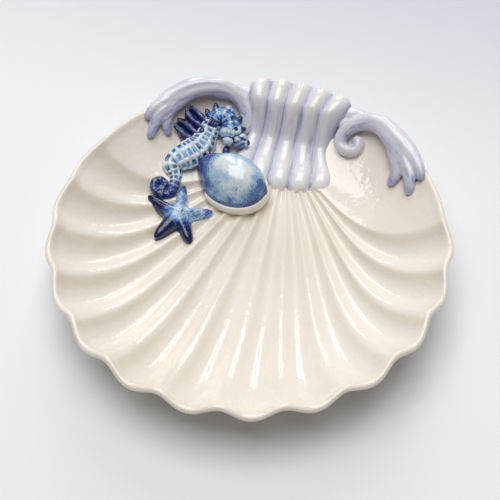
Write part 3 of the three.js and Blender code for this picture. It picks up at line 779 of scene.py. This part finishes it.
def build_foot(material):
    inner = FOOT_R - FOOT_WIDTH
    edge = FOOT_WIDTH * FOOT_EDGE

    def under(r):
        q = np.array(r / RIM_R)
        return float(bowl(q) - flute_depth(q) - WALL * np.cos(bowl_tilt(q))) + 0.1

    turn = np.linspace(0, np.pi / 2, 7)
    outer = [(FOOT_R - edge + edge * np.sin(a), edge * (1 - np.cos(a))) for a in turn]
    inside = [(inner + edge - edge * np.sin(a), edge * (1 - np.cos(a))) for a in turn[::-1]]
    ring = np.array(outer + [(r, under(r)) for r in np.linspace(FOOT_R, inner, 5)] + inside)
    angle = around(144)
    x, y = ring[:, 0] * np.cos(angle), ring[:, 0] * np.sin(angle)
    points = np.stack([x, y, ring[:, 1] + 0 * angle], -1)
    faces = grid_faces(*points.shape[:2], wrap_rows=True)
    mesh = mesh_of("foot_ring_bare", (points.reshape(-1, 3), faces))
    piece(mesh, material, "foot_ring")


# Crown

CROWN_COLUMNS = 26
CROWN_ROWS = 110
CROWN_CLIMB = (  # shares of the rim's radius, and of the bulb over the floor
    (0.479, -0.3), (0.5, 0.62), (0.56, 0.96), (0.635, 0.78), (0.71, 0.64),
    (0.765, 0.62), (0.805, 1.05), (0.83, 1.5), (0.852, 2.0), (0.885, 2.25),
)
CROWN_OVER = ((-0.7, 0.92), (0, 1), (0.64, 0.72), (1, 0), (0.9, -0.6))  # shares of the overhang and the rise


def crown_profile():
    def above(fy, share):
        return [0, fy * RIM_R, float(floor_at(0.0, fy * RIM_R)) + share * CROWN_BULB]

    def over_rim(out, share):
        return [0, RIM_R + CROWN_OVERHANG * out, RIM_Z + CROWN_RISE * share]

    return curve([above(*p) for p in CROWN_CLIMB] + [over_rim(*p) for p in CROWN_OVER], CROWN_ROWS)


def crease_depth(y, side):
    """Shallow on the floor, at the waist and over the rim, and deepest on the front of the heads."""
    depth = lerp(0.6, 1, smooth(y, 0.48 * RIM_R, 0.6 * RIM_R))
    depth = depth * (1 - 0.35 * bell(y - CROWN_WAIST_Y, 0.1 * RIM_R))
    depth = depth * (1 + 0.3 * smooth(y, HEADS_START, 0.94 * RIM_R))
    inner = (1 - side)[:, None]
    depth = depth * (1 - CROWN_ROLL * inner * smooth(y, 0.97 * RIM_R, 1.06 * RIM_R))
    return CROWN_CREASE * depth


def crown_surface(line, a, flute):
    """Points [across, along] of the crown's top and of its seat in the dish."""
    d = unit(np.gradient(line, axis=0))
    side = np.clip((np.abs(a) - CROWN_FLUTES / 2 + 0.5) * 2, 0, 1)
    y0, z0 = line[:, 1][None], line[:, 2][None]
    sunk = crease_depth(y0, side) * (1 - np.hypot(flute, 0.1) ** 0.52)[:, None]
    y = y0 + d[:, 2][None] * sunk
    dip = CROWN_BULB * 0.7 * (side**3)[:, None] * (1 - smooth(y0, HEADS_START, HEADS_FULL))
    z = z0 - d[:, 1][None] * sunk - dip
    pinch = bell(y - CROWN_WAIST_Y, CROWN_WAIST_LONG)
    pitch = CROWN_PITCH - (CROWN_PITCH - CROWN_WAIST) * pinch
    x = CROWN_X - CROWN_LEAN * pinch + a[:, None] * pitch
    front = 1 - smooth(y, 0.45 * RIM_R, CROWN_WAIST_Y)
    rear = smooth(y, CROWN_WAIST_Y, RIM_R)
    y = y + front * 0.045 * RIM_R * (a[:, None] / 2) ** 2 - rear * x * x / (2 * RIM_R)
    seat = np.minimum(floor_at(x, y), RIM_Z - 2) - CROWN_SEAT
    return np.stack([x, y, np.maximum(z, seat)], -1), np.stack([x, y, seat], -1)


def build_crown(material):
    line = crown_profile()
    a = (evenly(CROWN_FLUTES * CROWN_COLUMNS + 1) - 0.5) * CROWN_FLUTES
    flute = np.abs(np.cos(np.pi * (a + (CROWN_FLUTES - 1) / 2)))
    top, low = crown_surface(line, a, flute)
    share = evenly(8)[1:][None, :, None]
    drop = top[:, -1:] * (1 - share) + share * low[:, -1:]
    points = np.concatenate([top, drop, low[:, ::-4]], 1)
    columns, rows = points.shape[:2]
    faces = grid_faces(columns, rows, wrap_columns=False, wrap_rows=True)
    inside_y = lerp(CROWN_WAIST_Y, RIM_R, 0.3)
    inside_z = float(floor_at(0.0, inside_y)) + 2
    poles = [[points[i, :, 0].mean(), inside_y, inside_z] for i in (0, -1)]
    for end, first in ((0, 0), (1, (columns - 1) * rows)):
        for j in range(rows):
            faces.append([first + j, first + (j + 1) % rows, columns * rows + end])
    mesh = mesh_of("crown_glazed", (np.concatenate([points.reshape(-1, 3), poles]), faces))
    run = np.concatenate([np.linspace(0, length_of(line), CROWN_ROWS), np.zeros(rows - CROWN_ROWS)])
    ones = np.ones((columns, rows))
    # Painted shade: the flute value drops at the waist, under the overhanging heads, turning the glaze
    # violet there.
    painted_waist_shade = 1 - 0.6 * bell(points[..., 1] - CROWN_WAIST_Y, 0.09 * RIM_R)
    value(mesh, "flute", (flute**0.8)[:, None] * painted_waist_shade, [0, 0])
    upper = smooth(points[..., 1], 0.76 * RIM_R, 0.94 * RIM_R)
    warm = (flute**2)[:, None] * ones * upper * bell(a - 0.4, 1.6)[:, None]
    value(mesh, "warm", warm, [0, 0])
    brush = np.stack([run[None] * ones, points[..., 0], 0 * ones], -1)
    flow(mesh, np.concatenate([brush.reshape(-1, 3), np.zeros((2, 3))]))
    piece(mesh, material, "crown")


# Scrolls

# Points of a scroll: shares of the rim's radius outward and back, and of the scroll's lift
SCROLL_RUN = [(0.348, 0.824, 0.4), (0.384, 0.812, 0.4), (0.376, 0.772, 0.4), (0.325, 0.764, 0.5)]
SCROLL_RUN += [(0.281, 0.797, 0.6), (0.298, 0.855, 0.8), (0.385, 0.89, 1), (0.485, 0.876, 1)]
SCROLL_RUN += [(0.578, 0.815, 1), (0.652, 0.742, 0.9), (0.715, 0.655, 0.7)]
LEFT_RUN = [(0.29, 0.755, 0.1), (0.275, 0.8, 0.3), (0.29, 0.855, 0.7), (0.35, 0.895, 1.1), (0.43, 0.9, 1.25)]
LEFT_RUN += [(0.51, 0.875, 1.3), (0.59, 0.828, 1.2), (0.66, 0.755, 1), (0.72, 0.665, 0.8)]
ROOT_RUN = [(0.24, 0.965, 0), (0.33, 0.945, 0.1), (0.42, 0.912, 0.4), (0.51, 0.875, 0.8)]
ROOT_FILL = (0.29, 0.9, 0.3)
ROOT_FILL_SIZE = (7, 7, 6)
SCROLL_STEPS = 150
FINGER_STEPS = 60
SCROLL_VOXEL = 0.8
SCROLL_FINGERS = [
    [(0.57, 0.79, 0.9), (0.63, 0.71, 0.8), (0.648, 0.65, 0.6), (0.624, 0.583, 0.3)],
    [(0.6, 0.79, 0.9), (0.675, 0.7, 0.8), (0.722, 0.61, 0.6), (0.742, 0.522, 0.3)],
    [(0.62, 0.8, 0.9), (0.7, 0.725, 0.8), (0.755, 0.66, 0.7), (0.79, 0.59, 0.4)],
]
LEFT_FINGERS = [
    [(0.64, 0.75, 1), (0.675, 0.69, 0.9), (0.677, 0.635, 0.6), (0.65, 0.58, 0.3)],
    [(0.65, 0.75, 1), (0.705, 0.67, 0.9), (0.732, 0.59, 0.6), (0.742, 0.51, 0.3)],
    [(0.665, 0.76, 1), (0.725, 0.695, 0.9), (0.762, 0.645, 0.7), (0.785, 0.59, 0.4)],
]
RIGHT = (1, SCROLL_TIP, SCROLL_LEAF, SCROLL_RUN, SCROLL_FINGERS)
LEFT = (-1, LEFT_TIP, LEFT_LEAF, LEFT_RUN, LEFT_FINGERS)


def build_scroll(form, node, material, ground):
    side, first, last, run, fingers = form

    def at(fx, fy, lift):
        to_crown = CROWN_X / RIM_R * (1 - float(smooth(fx, 0.4, 0.65)))
        return place(side * fx + to_crown, fy, SCROLL_LIFT * lift)

    def crease(angle, share):
        return 1 - 0.14 * bell(angle - math.pi * 0.5, 0.26) * smooth(share, 0.25, 0.5)

    line = curve([at(*p) for p in run], SCROLL_STEPS)
    s = evenly(SCROLL_STEPS)
    k = round_ends(s, 0.035, 0.12)
    half = lerp(first, last, s * s) * k
    high = lerp(0.66, 1, s) * SCROLL_HIGH * k * lerp(1, 0.55, smooth(s, 0.7, 1))
    f = evenly(FINGER_STEPS)
    root = curve([at(*p) for p in ROOT_RUN], FINGER_STEPS)
    thick = SCROLL_ROOT * round_ends(f, 0.1, 0.3)
    skins = [tube(line, half, high, 40, crease), tube(root, thick, thick, 28)]
    skins.append(ball(at(*ROOT_FILL), *ROOT_FILL_SIZE))
    tips = []
    for points in fingers:
        finger = curve([at(*p) for p in points], FINGER_STEPS)
        taper = round_ends(f, 0.4, 0.12) * lerp(1, 0.42, f)
        skins.append(tube(finger, last * FINGER_SHARE * taper, SCROLL_HIGH * 0.8 * taper, 24))
        tips.append(finger[-1])
    mesh = fused(node + "_glazed", skins, SCROLL_VOXEL, passes=6)
    corners = sit(mesh, ground)
    share, on_line = nearest(line, corners)
    tangent = unit(np.gradient(line, axis=0))
    out = unit(np.cross(tangent, floor_normal(line)))
    index = np.round(share * (SCROLL_STEPS - 1)).astype(int)
    off = ((corners - on_line) * out[index]).sum(1)
    outer = off * -side / np.maximum(half[index], 2)
    value(mesh, "light", 0.22 * smooth(outer, -0.5, 0.6) - 0.12)
    near = np.min([norm(corners - tip, axis=1) for tip in tips], axis=0)
    value(mesh, "tip", 1 - smooth(near, 3.0, 15.0))
    flow(mesh, np.stack([share * length_of(line), off, corners[:, 2]], -1))
    piece(mesh, material, node)


# Seahorse

# Points of its lines: shares of the rim's radius, and of the lift of the body or the head
TRUNK_RUN = [(-0.577, 0.43, 0.8), (-0.553, 0.47, 1), (-0.505, 0.523, 1), (-0.463, 0.585, 1)]
TRUNK_RUN += [(-0.45, 0.648, 1), (-0.437, 0.712, 1), (-0.42, 0.765, 1)]
NECK_RUN = [(-0.428, 0.735, 0.7), (-0.412, 0.765, 0.8), (-0.38, 0.775, 0.9), (-0.345, 0.757, 1)]
NECK_RUN += [(-0.322, 0.72, 1)]
SNOUT_RUN = [(-0.31, 0.695, 1), (-0.27, 0.68, 1), (-0.225, 0.676, 0.95)]
BODY_STEPS = 420
BODY_SIDES = 72
HEAD_STEPS = 50
HEAD_VOXEL = 0.4
FIN_COLUMNS = 120
FIN_ROWS = 30


def lifted(run, lift):
    return [place(fx, fy, lift * share) for fx, fy, share in run]


def seahorse_line():
    """The middle line from the tip of the tail to the neck, and the length of its coil."""
    coil = np.array(COIL_MIDDLE) * RIM_R
    turns = []
    for s in np.linspace(1, 0.06, 12):
        angle = -s * COIL_TURN
        r = COIL_R * (1 - COIL_IN * s)
        x, y = coil[0] + r * math.cos(angle), coil[1] + r * math.sin(angle)
        turns.append(np.array([x, y, floor_at(x, y) + TAIL_R * 0.6]))
    trunk = [place(-0.543, 0.37, TAIL_R * 0.5)] + lifted(TRUNK_RUN, BODY_LIFT)
    return curve(turns + trunk, BODY_STEPS), length_of(curve(turns, 200))


def build_seahorse_body(material, ground):
    line, coil = seahorse_line()
    whole = length_of(line)
    s = evenly(BODY_STEPS)
    run = s * whole
    u = np.clip((run - coil) / (whole - coil), 0, 1)
    belly = lerp(TAIL_R, TRUNK_R, smooth(u, 0.1, 0.5))
    width = lerp(belly, NECK_R, smooth(u, 0.6, 0.85))
    width = np.where(run < coil, lerp(TAIL_TIP * 1.6, TAIL_R, run / coil), width)
    width = width * round_ends(s, 0.01, 0.03)
    ring = np.abs((run / RING_STEP + 0.5) % 1 - 0.5) * RING_STEP
    rings = bell(ring, 1.0)

    def relief(angle, share):
        lines = sum(bell(angle - math.radians(k), 0.17) for k in (14, 60, 112, 162))
        body = smooth(np.interp(share, s, u), 0.02, 0.2)
        return np.maximum(rings[None] * bell(angle - math.pi / 2, 1.9), np.minimum(lines, 1) * body)

    def shape(angle, share):
        knots = rings[None] * relief(angle, share)
        return 1 + 0.11 * relief(angle, share) + 0.05 * knots - 0.05

    points = tube_points(line, width, width * 0.82, BODY_SIDES, shape)
    high = relief(around(BODY_SIDES), s[None])[:, 1:-1]
    tail = (1 - smooth(u, 0.0, 0.22))[None, 1:-1] + 0 * high
    skins = [closed_grid(points[:, 1:-1], line[0], line[-1])]
    reliefs = [np.append(high.ravel() * (1 - 0.75 * tail.ravel()), [0, 0])]
    darks = [np.append(tail.ravel() * (1 - 0.45 * high.ravel()), [1, 1])]
    for extra, tone in seahorse_extras():
        skins.append(extra)
        reliefs.append(np.full(len(extra[0]), 0.1))
        darks.append(np.full(len(extra[0]), tone))
    mesh = mesh_of("seahorse_body_glazed", joined(skins))
    sit(mesh, ground)
    value(mesh, "relief", np.concatenate(reliefs))
    value(mesh, "dark", np.concatenate(darks))
    value(mesh, "pale", np.zeros(len(mesh.vertices)))
    piece(mesh, material, "seahorse_body")


def seahorse_extras():
    """Neck spikes, ribs and bead of the pectoral fin and the coil's middle, each with its darkness."""
    made = []
    for fx, fy, ox, oy in ((-0.45, 0.74, -0.038, 0.04), (-0.43, 0.775, -0.01, 0.038)):
        made.append((spike(place(fx, fy, 6), place(fx + ox, fy + oy, 7.5), SPIKE_R), 1.0))
    lift = BODY_LIFT + NECK_R * 0.78
    for k in range(4):
        root = place(-0.448 + 0.012 * k, 0.672 + 0.006 * k, lift - 0.5)
        tip = place(-0.432 + 0.016 * k, 0.735 - 0.004 * k, lift + 0.4)
        rib = curve([root, (root + tip) / 2 + [0, 0, 1.2], tip], 24)
        f = evenly(24)
        size = 1.25 * round_ends(f, 0.25, 0.2)
        made.append((tube(rib, size, size, 12), 1.0))
    made.append((ball(place(-0.47, 0.65, lift - 0.6), 2.6, 2.6, 2.4), 0.9))
    made.append((ball(place(*COIL_MIDDLE, 1.0), COIL_R * 0.6, COIL_R * 0.6, TAIL_R * 0.6), 1.0))
    return made


FACE = {
    "skull": place(-0.322, 0.712, HEAD_LIFT),
    "eye": place(-0.288, 0.703, HEAD_LIFT + NECK_R * 0.68),
    "cheek": place(-0.318, 0.65, HEAD_LIFT + NECK_R * 0.2),
    "lip": place(-0.248, 0.692, HEAD_LIFT * 1.2),
    "jaw": place(-0.252, 0.657, HEAD_LIFT * 0.95),
    "nose": place(-0.217, 0.673, HEAD_LIFT),
    "chin": place(-0.32, 0.618, HEAD_LIFT * 0.45),
    "coronet": place(-0.362, 0.812, HEAD_LIFT * 0.95),
}
HORNS = ((-0.305, 0.765, 0.018, 0.034), (-0.275, 0.735, 0.026, 0.016), (-0.43, 0.785, -0.01, 0.03))


def head_skins(neck):
    f = evenly(HEAD_STEPS)
    arch = NECK_R * 0.92 * round_ends(f, 0.1, 0.1)
    snout = curve(lifted(SNOUT_RUN, HEAD_LIFT), HEAD_STEPS)
    muzzle = NECK_R * lerp(0.7, 0.42, f) * round_ends(f, 0.1, 0.06)
    eye = FACE["eye"]

    def lump(name, rx, ry, rz, turn=0.0, off=(0, 0, 0)):
        return ball(FACE[name] + off, NECK_R * rx, NECK_R * ry, NECK_R * rz, turn)

    return [
        tube(neck, arch, arch, 28),
        tube(snout, muzzle, muzzle, 28),
        lump("skull", 1.2, 1.1, 0.95, 0.9),
        ball(eye - [0, 0, 2.2], 4.6, 4.2, 3.2),
        ball(eye, 2.5, 2.5, 2.1),
        ball(eye + [-2.6, 4.4, -1.5], 4.4, 1.7, 2.4, -0.5),
        lump("cheek", 0.58, 0.6, 0.5),
        lump("lip", 0.5, 0.36, 0.36, 0.2),
        lump("jaw", 0.58, 0.4, 0.42, 0.3),
        lump("nose", 0.4, 0.4, 0.4),
        lump("chin", 0.4, 0.56, 0.5),
        lump("coronet", 0.52, 0.52, 0.55),
        lump("coronet", 0.36, 0.36, 0.45, off=(3.4, -1.6, 0)),
        lump("coronet", 0.36, 0.36, 0.45, off=(-3.2, -1.2, 0)),
    ]


def paint_head(mesh, corners, neck, tips):
    def away(p):
        return norm(corners - p, axis=1)

    def near(p, inner, outer):
        return 1 - smooth(away(p), inner, outer)

    eye, lip, jaw = FACE["eye"], FACE["lip"], FACE["jaw"]
    gape = lip * 0.45 + jaw * 0.55 + [1.0, 0, 1.8]
    inks = [near(tip, 2.4, 4.4) for tip in tips]
    inks.append(near(FACE["chin"], 3.6, 5.6))
    inks.append(near(eye + [0.3, -0.2, 1.6], 1.3, 2.2))
    inks.append(near(FACE["nose"] + [2.2, 0, 1.0], 1.5, 3.2))
    inks.append(bell((corners - gape)[:, 1], 0.8) * near(gape, 3.0, 5.0))
    inks.append(smooth(hollows(mesh, corners, passes=12, full=0.1), 0.15, 0.8))
    inks.append(0.45 * near(jaw, 3.0, 7.0))
    dark = np.max(inks, axis=0)
    ring = 0.4 * bell(away(eye) - 3.0, 0.5)
    share, middle = nearest(neck, corners)
    stripe = bell(np.abs((share * 5.5) % 1 - 0.5), 0.2)
    scallop = bell(np.abs((away(middle) / 3.4) % 1 - 0.5), 0.2)
    relief = 0.6 * stripe * (1 - near(FACE["skull"], 7.0, 9.0))
    relief = relief + 0.35 * scallop + 0.35 * near(lip, 2.0, 4.0) - 0.2
    pale = np.maximum(near(FACE["coronet"], 3.8, 6.4), near(FACE["cheek"] + [0, 0, 1.5], 3.2, 4.8))
    value(mesh, "relief", np.maximum(ring, np.clip(relief, 0, 1)) * (1 - dark))
    value(mesh, "dark", dark)
    value(mesh, "pale", pale * 0.5 * (1 - dark))


def build_seahorse_head(material, ground):
    neck = curve(lifted(NECK_RUN, HEAD_LIFT), HEAD_STEPS)
    skins = head_skins(neck)
    tips = []
    for fx, fy, ox, oy in HORNS:
        base, tip = lifted([(fx, fy, 0.9), (fx + ox, fy + oy, 0.9)], HEAD_LIFT)
        skins.append(spike(base, tip + (tip - base) * 0.3, SPIKE_R))
        tips.append(lerp(base, tip, 0.75))
    mesh = fused("seahorse_head_glazed", skins, HEAD_VOXEL, passes=7)
    corners = sit(mesh, ground)
    paint_head(mesh, corners, neck, tips)
    piece(mesh, material, "seahorse_head")


def build_fin(material):
    root = curve([place(-0.51, 0.575), place(-0.475, 0.65), place(-0.455, 0.735)], FIN_COLUMNS)
    edge = curve([place(-0.638, 0.603), place(-0.609, 0.69), place(-0.555, 0.79)], FIN_COLUMNS)
    a = evenly(FIN_COLUMNS)
    s = evenly(FIN_ROWS)[None, :]
    wave = np.abs(np.cos(np.pi * (FIN_PLEATS * a - 0.5)))[:, None]
    reach = s * (0.68 + 0.38 * wave**1.4)
    plan = root[:, None] * (1 - reach)[..., None] + edge[:, None] * reach[..., None]
    wander = np.sin(2 * np.pi * (1.2 * s + 1.7 * a[:, None]))
    along = unit(root[-1] - root[0])
    plan += (FIN_WANDER * wander * s)[..., None] * along
    crimp = np.cos(2 * np.pi * 3 * FIN_PLEATS * a[:, None] + 2 * wander)
    high = FIN_HIGH * (0.3 + 0.6 * wave + 0.1 * crimp * s) * lerp(1, 0.7, s)
    ground_z = floor_at(plan[..., 0], plan[..., 1])
    top = plan.copy()
    top[..., 2] = ground_z + high
    low = plan.copy()
    low[..., 2] = ground_z + np.maximum(high - FIN_THICK, -1.0) * (0.25 + 0.75 * s)
    points = np.concatenate([top, low[::-1]], 0)
    skin = closed_grid(points, points[:, 0].mean(0), points[:, -1].mean(0))
    mesh = mesh_of("seahorse_back_fin_glazed", skin)
    # Painted highlight: the crests of the pleats are marked for a pale colour in the glaze.
    crest_highlight = np.maximum(wave**14, 0.5 * np.maximum(crimp, 0) ** 6) * np.ones_like(s)
    crest_highlight = np.concatenate([crest_highlight, 0 * crest_highlight], 0)
    value(mesh, "relief", crest_highlight, [0, 0])
    piece(mesh, material, "seahorse_back_fin")


# Clam and starfish

DOME_ROWS = 64
STAR_ROWS = 48
ARM_COLUMNS = 40
CLAM_ALONG = np.array([math.cos(CLAM_TURN), math.sin(CLAM_TURN)])
CLAM_ACROSS = np.array([-CLAM_ALONG[1], CLAM_ALONG[0]])
CLAM_ANGLES = around(160)
CLAM_HINGE = smooth(np.cos(CLAM_ANGLES), 0.45, 0.8)  # 1 at the beak, where the valves meet
CLAM_EDGE = (  # the lower valve from inside to under it: shares of its outline and of its height
    (0.6, 0.98), (0.9, 1.0), (0.965, 0.98), (0.99, 0.9), (1.0, 0.72), (1.0, 0.5),
    (0.985, 0.34), (0.94, 0.22), (0.86, 0.08), (0.76, -0.15), (0.64, -0.5),
)


def clam_plan(share, grow):
    angle = CLAM_ANGLES
    bare = np.hypot(np.cos(angle) / CLAM_LONG, np.sin(angle) / CLAM_WIDE)
    off = np.arctan2(np.sin(angle), np.cos(angle))
    nub = np.arctan2(np.sin(angle - CLAM_NUB_AT), np.cos(angle - CLAM_NUB_AT))
    beak = 1 + CLAM_BEAK * bell(off, 0.33) + CLAM_NUB * bell(nub, 0.12)
    r = beak / bare * share + grow
    x = CLAM_MIDDLE[0] + r * np.cos(angle + CLAM_TURN)
    y = CLAM_MIDDLE[1] + r * np.sin(angle + CLAM_TURN)
    return x, y


def clam_low(x, y):
    """Height of the lower valve, which is less towards the beak."""
    along = (x - CLAM_MIDDLE[0]) * CLAM_ALONG[0] + (y - CLAM_MIDDLE[1]) * CLAM_ALONG[1]
    return CLAM_LOW * (1 - CLAM_TILT * along / CLAM_LONG)


def build_upper_valve(material):
    s = np.sin(np.linspace(0.02, 1, DOME_ROWS) * np.pi / 2)[None, :]
    x, y = clam_plan(s, 0)
    joint = floor_at(x, y) + clam_low(x, y) - 0.2
    lean = CLAM_UMBO * CLAM_LONG * (1 - s)
    x, y = x + lean * CLAM_ALONG[0], y + lean * CLAM_ALONG[1]
    z = joint + np.maximum(1 - s * s, 0) ** 0.55 * CLAM_DOME
    dome = np.stack([x, y, z], -1)
    drop = lerp(1.0, clam_low(x[:, -1:], y[:, -1:]) + 1.5, CLAM_HINGE)
    tuck = np.stack([x[:, -1:], y[:, -1:], joint[:, -1:] - drop], -1)
    skin = closed_grid(np.concatenate([dome, tuck], 1), dome[:, 0].mean(0), tuck.mean((0, 1)))
    mesh = mesh_of("clam_upper_valve_glazed", skin)
    flat = corners_of(mesh)[:, :2] - CLAM_MIDDLE
    along = flat @ CLAM_ALONG / CLAM_LONG
    ring = np.hypot(along, flat @ CLAM_ACROSS / CLAM_WIDE)
    depth = 0.16 + 0.2 * smooth(ring, 0.45, 0.95) + 0.6 * smooth(along, 0.35, 1.05)
    depth += 0.22 * smooth(-along, 0.5, 0.95) + 0.4 * smooth(ring, 0.96, 1.0)
    value(mesh, "depth", depth)
    piece(mesh, material, "clam_upper_valve")


def build_lower_valve(material, ground):
    shares, highs = np.array(CLAM_EDGE).T
    x, y = clam_plan(shares[None], shares[None] * CLAM_LIP * lerp(1, -0.7, CLAM_HINGE))
    points = np.stack([x, y, floor_at(x, y) + highs[None] * clam_low(x, y)], -1)
    skin = closed_grid(points, points[:, 0].mean(0), points[:, -1].mean(0))
    mesh = mesh_of("clam_lower_valve_glazed", skin)
    sit(mesh, ground)
    # A slight, even beige tint, through the cream glaze's tint and painted shade mark.
    value(mesh, "tint_and_painted_shade", np.full(len(mesh.vertices), 0.1))
    piece(mesh, material, "clam_lower_valve")


def build_star(material, ground):
    arm = np.radians(STAR_TURN + 360 * np.arange(STAR_ARMS + 1) / STAR_ARMS)
    arm += np.radians(STAR_LEANS[np.arange(STAR_ARMS + 1) % STAR_ARMS])
    k = np.repeat(np.arange(STAR_ARMS), ARM_COLUMNS)
    f = np.tile(np.arange(ARM_COLUMNS) / ARM_COLUMNS, STAR_ARMS)
    angle = lerp(arm[k], arm[k + 1], f)
    off = np.minimum(angle - arm[k], arm[k + 1] - angle)
    length = STAR_LEN * (1 + STAR_UNEVEN * np.cos(angle - STAR_LONGEST))
    bend = np.sin(f * np.pi) ** 1.9
    outline = 1 / (1 / length + (1 / STAR_VALLEY - 1 / length) * bend)
    s = np.sin(np.linspace(0.01, 1, STAR_ROWS) * np.pi / 2)[None, :]
    r = outline[:, None] * s
    x = STAR_MIDDLE[0] + r * np.cos(angle)[:, None]
    y = STAR_MIDDLE[1] + r * np.sin(angle)[:, None]
    d = np.clip(r * np.cos(off)[:, None] / length[:, None], 0, 1)
    back = lerp(STAR_HIGH, STAR_TIP, d**0.8) - 1
    high = 1 + back * np.sqrt(np.maximum(1 - s**2.6, 0))
    top = np.stack([x, y, floor_at(x, y) + high], -1)
    low = np.stack([x[:, -1:], y[:, -1:], floor_at(x[:, -1:], y[:, -1:]) - 4], -1)
    points = np.concatenate([top, low], 1)
    mesh = mesh_of("starfish_glazed", closed_grid(points, top[:, 0].mean(0), low.mean((0, 1))))
    sit(mesh, ground)
    tone = lerp(STAR_TONES[k], STAR_TONES[(k + 1) % STAR_ARMS], smooth(f, 0.3, 0.7))
    depth = 0.36 + tone[:, None] * smooth(d, 0.1, 0.5) + 0.2 * smooth(d, 0.7, 1.0)
    depth = np.concatenate([depth, depth[:, -1:]], 1)
    value(mesh, "depth", depth, [0.2, 0.2])
    piece(mesh, material, "starfish")


# Stage

FLOOR_HALF = 4.0
PAPER_TURNS = (0.08, 0.42)  # where the painted shade on the floor begins and is full, behind the plate, in metres


def build_floor():
    mesh = bpy.data.meshes.new("floor")
    h = FLOOR_HALF
    mesh.from_pydata([(-h, -h, 0), (h, -h, 0), (h, h, 0), (-h, h, 0)], [], [(0, 1, 2, 3)])
    floor = show("floor", mesh)
    g = Glaze("floor_paper", 0.7)
    paper = g.ramp(g.noise(3, 2), (0.3, PAPER[0]), (0.7, PAPER[1]))
    split = g.node("SeparateXYZ", {"Vector": g.place})
    # Painted shade: the floor turns darker behind the plate, where the light falls off.
    g.colour(g.mix(g.span(split.outputs["Y"], *PAPER_TURNS), paper, FAR_PAPER_SHADE))
    g.fill(g.shader, {"Specular IOR Level": 0.1})
    mesh.materials.append(g.material)


# Light: places in metres, lamps in watts
WORLD_LEVEL = 0.13
OVERHEAD_AT = Vector((-0.5, 0.3, 4.0))
OVERHEAD_WIDE = 3.5
OVERHEAD_DEEP = 3.2
OVERHEAD_WATTS = 132
WINDOW_AT = Vector((-0.9, 4.4, 2.7))
WINDOW_FACES = Vector((0, 0, 0.03))
PANE_WIDE = 0.95
PANE_HIGH = 1.05
PANE_STEP_X = 1.48
PANE_STEP_Y = 1.34
PANE_WATTS = (12.0, 16.0, 18.0)  # from the lowest row up


def area_light(name, position, facing, width, height, watts, colour=(1, 1, 1)):
    lamp = bpy.data.lights.new(name, "AREA")
    lamp.shape = "RECTANGLE"
    lamp.size, lamp.size_y = width, height
    lamp.energy = watts
    lamp.color = colour
    holder = show(name, lamp)
    holder.location = position
    holder.rotation_euler = facing.to_track_quat("-Z", "Y").to_euler()


def build_lights():
    world = bpy.data.worlds.new("studio")
    bpy.context.scene.world = world
    world.use_nodes = True
    back = world.node_tree.nodes["Background"]
    back.inputs["Color"].default_value = (1.0, 0.99, 0.98, 1)
    back.inputs["Strength"].default_value = WORLD_LEVEL
    down = Vector((0, 0, -1))
    area_light("overhead", OVERHEAD_AT, down, OVERHEAD_WIDE, OVERHEAD_DEEP, OVERHEAD_WATTS)
    facing = (WINDOW_FACES - WINDOW_AT).normalized()
    turn = facing.to_track_quat("-Z", "Y")
    for column in (-0.5, 0.5):
        for row, watts in zip((-1, 0, 1), PANE_WATTS):
            pane = WINDOW_AT + turn @ Vector((column * PANE_STEP_X, row * PANE_STEP_Y, 0))
            area_light("window_pane", pane, facing, PANE_WIDE, PANE_HIGH, watts, (1.0, 0.99, 0.97))


# Camera, fitted to the notches of the rim; in millimetres from the middle of the plate
CAMERA_EYE = np.array([123.566, -418.639, 653.879])
CAMERA_TARGET = np.array([1.037, -2.134, 29.0])
LENS = 72
SENSOR = 36


def build_camera():
    camera = bpy.data.cameras.new("camera")
    camera.sensor_fit = "HORIZONTAL"
    camera.sensor_width = SENSOR
    camera.lens = LENS
    holder = show("camera", camera)
    eye = CAMERA_EYE * MM + MIDDLE
    target = CAMERA_TARGET * MM + MIDDLE
    holder.location = eye
    holder.rotation_euler = Vector(target - eye).to_track_quat("-Z", "Y").to_euler()
    bpy.context.scene.camera = holder


def build():
    cream = cream_glaze()
    lavender = lavender_glaze()
    seahorse = seahorse_glaze()
    ground = build_dish(cream)
    build_foot(bare_clay())
    build_crown(crown_glaze())
    build_scroll(LEFT, "left_scroll", lavender, ground)
    build_scroll(RIGHT, "right_scroll", lavender, ground)
    build_seahorse_body(seahorse, ground)
    build_seahorse_head(seahorse, ground)
    build_fin(cobalt_glaze())
    build_upper_valve(blue_glaze("clam_glaze", CLAM_DEEP, 0.25, 0.14))
    build_lower_valve(cream, ground)
    build_star(blue_glaze("star_glaze", STAR_DEEP, 0.8, 0.5), ground)
    build_floor()
    build_lights()
    build_camera()


build()
bpy.context.scene.view_settings.view_transform = "Standard"
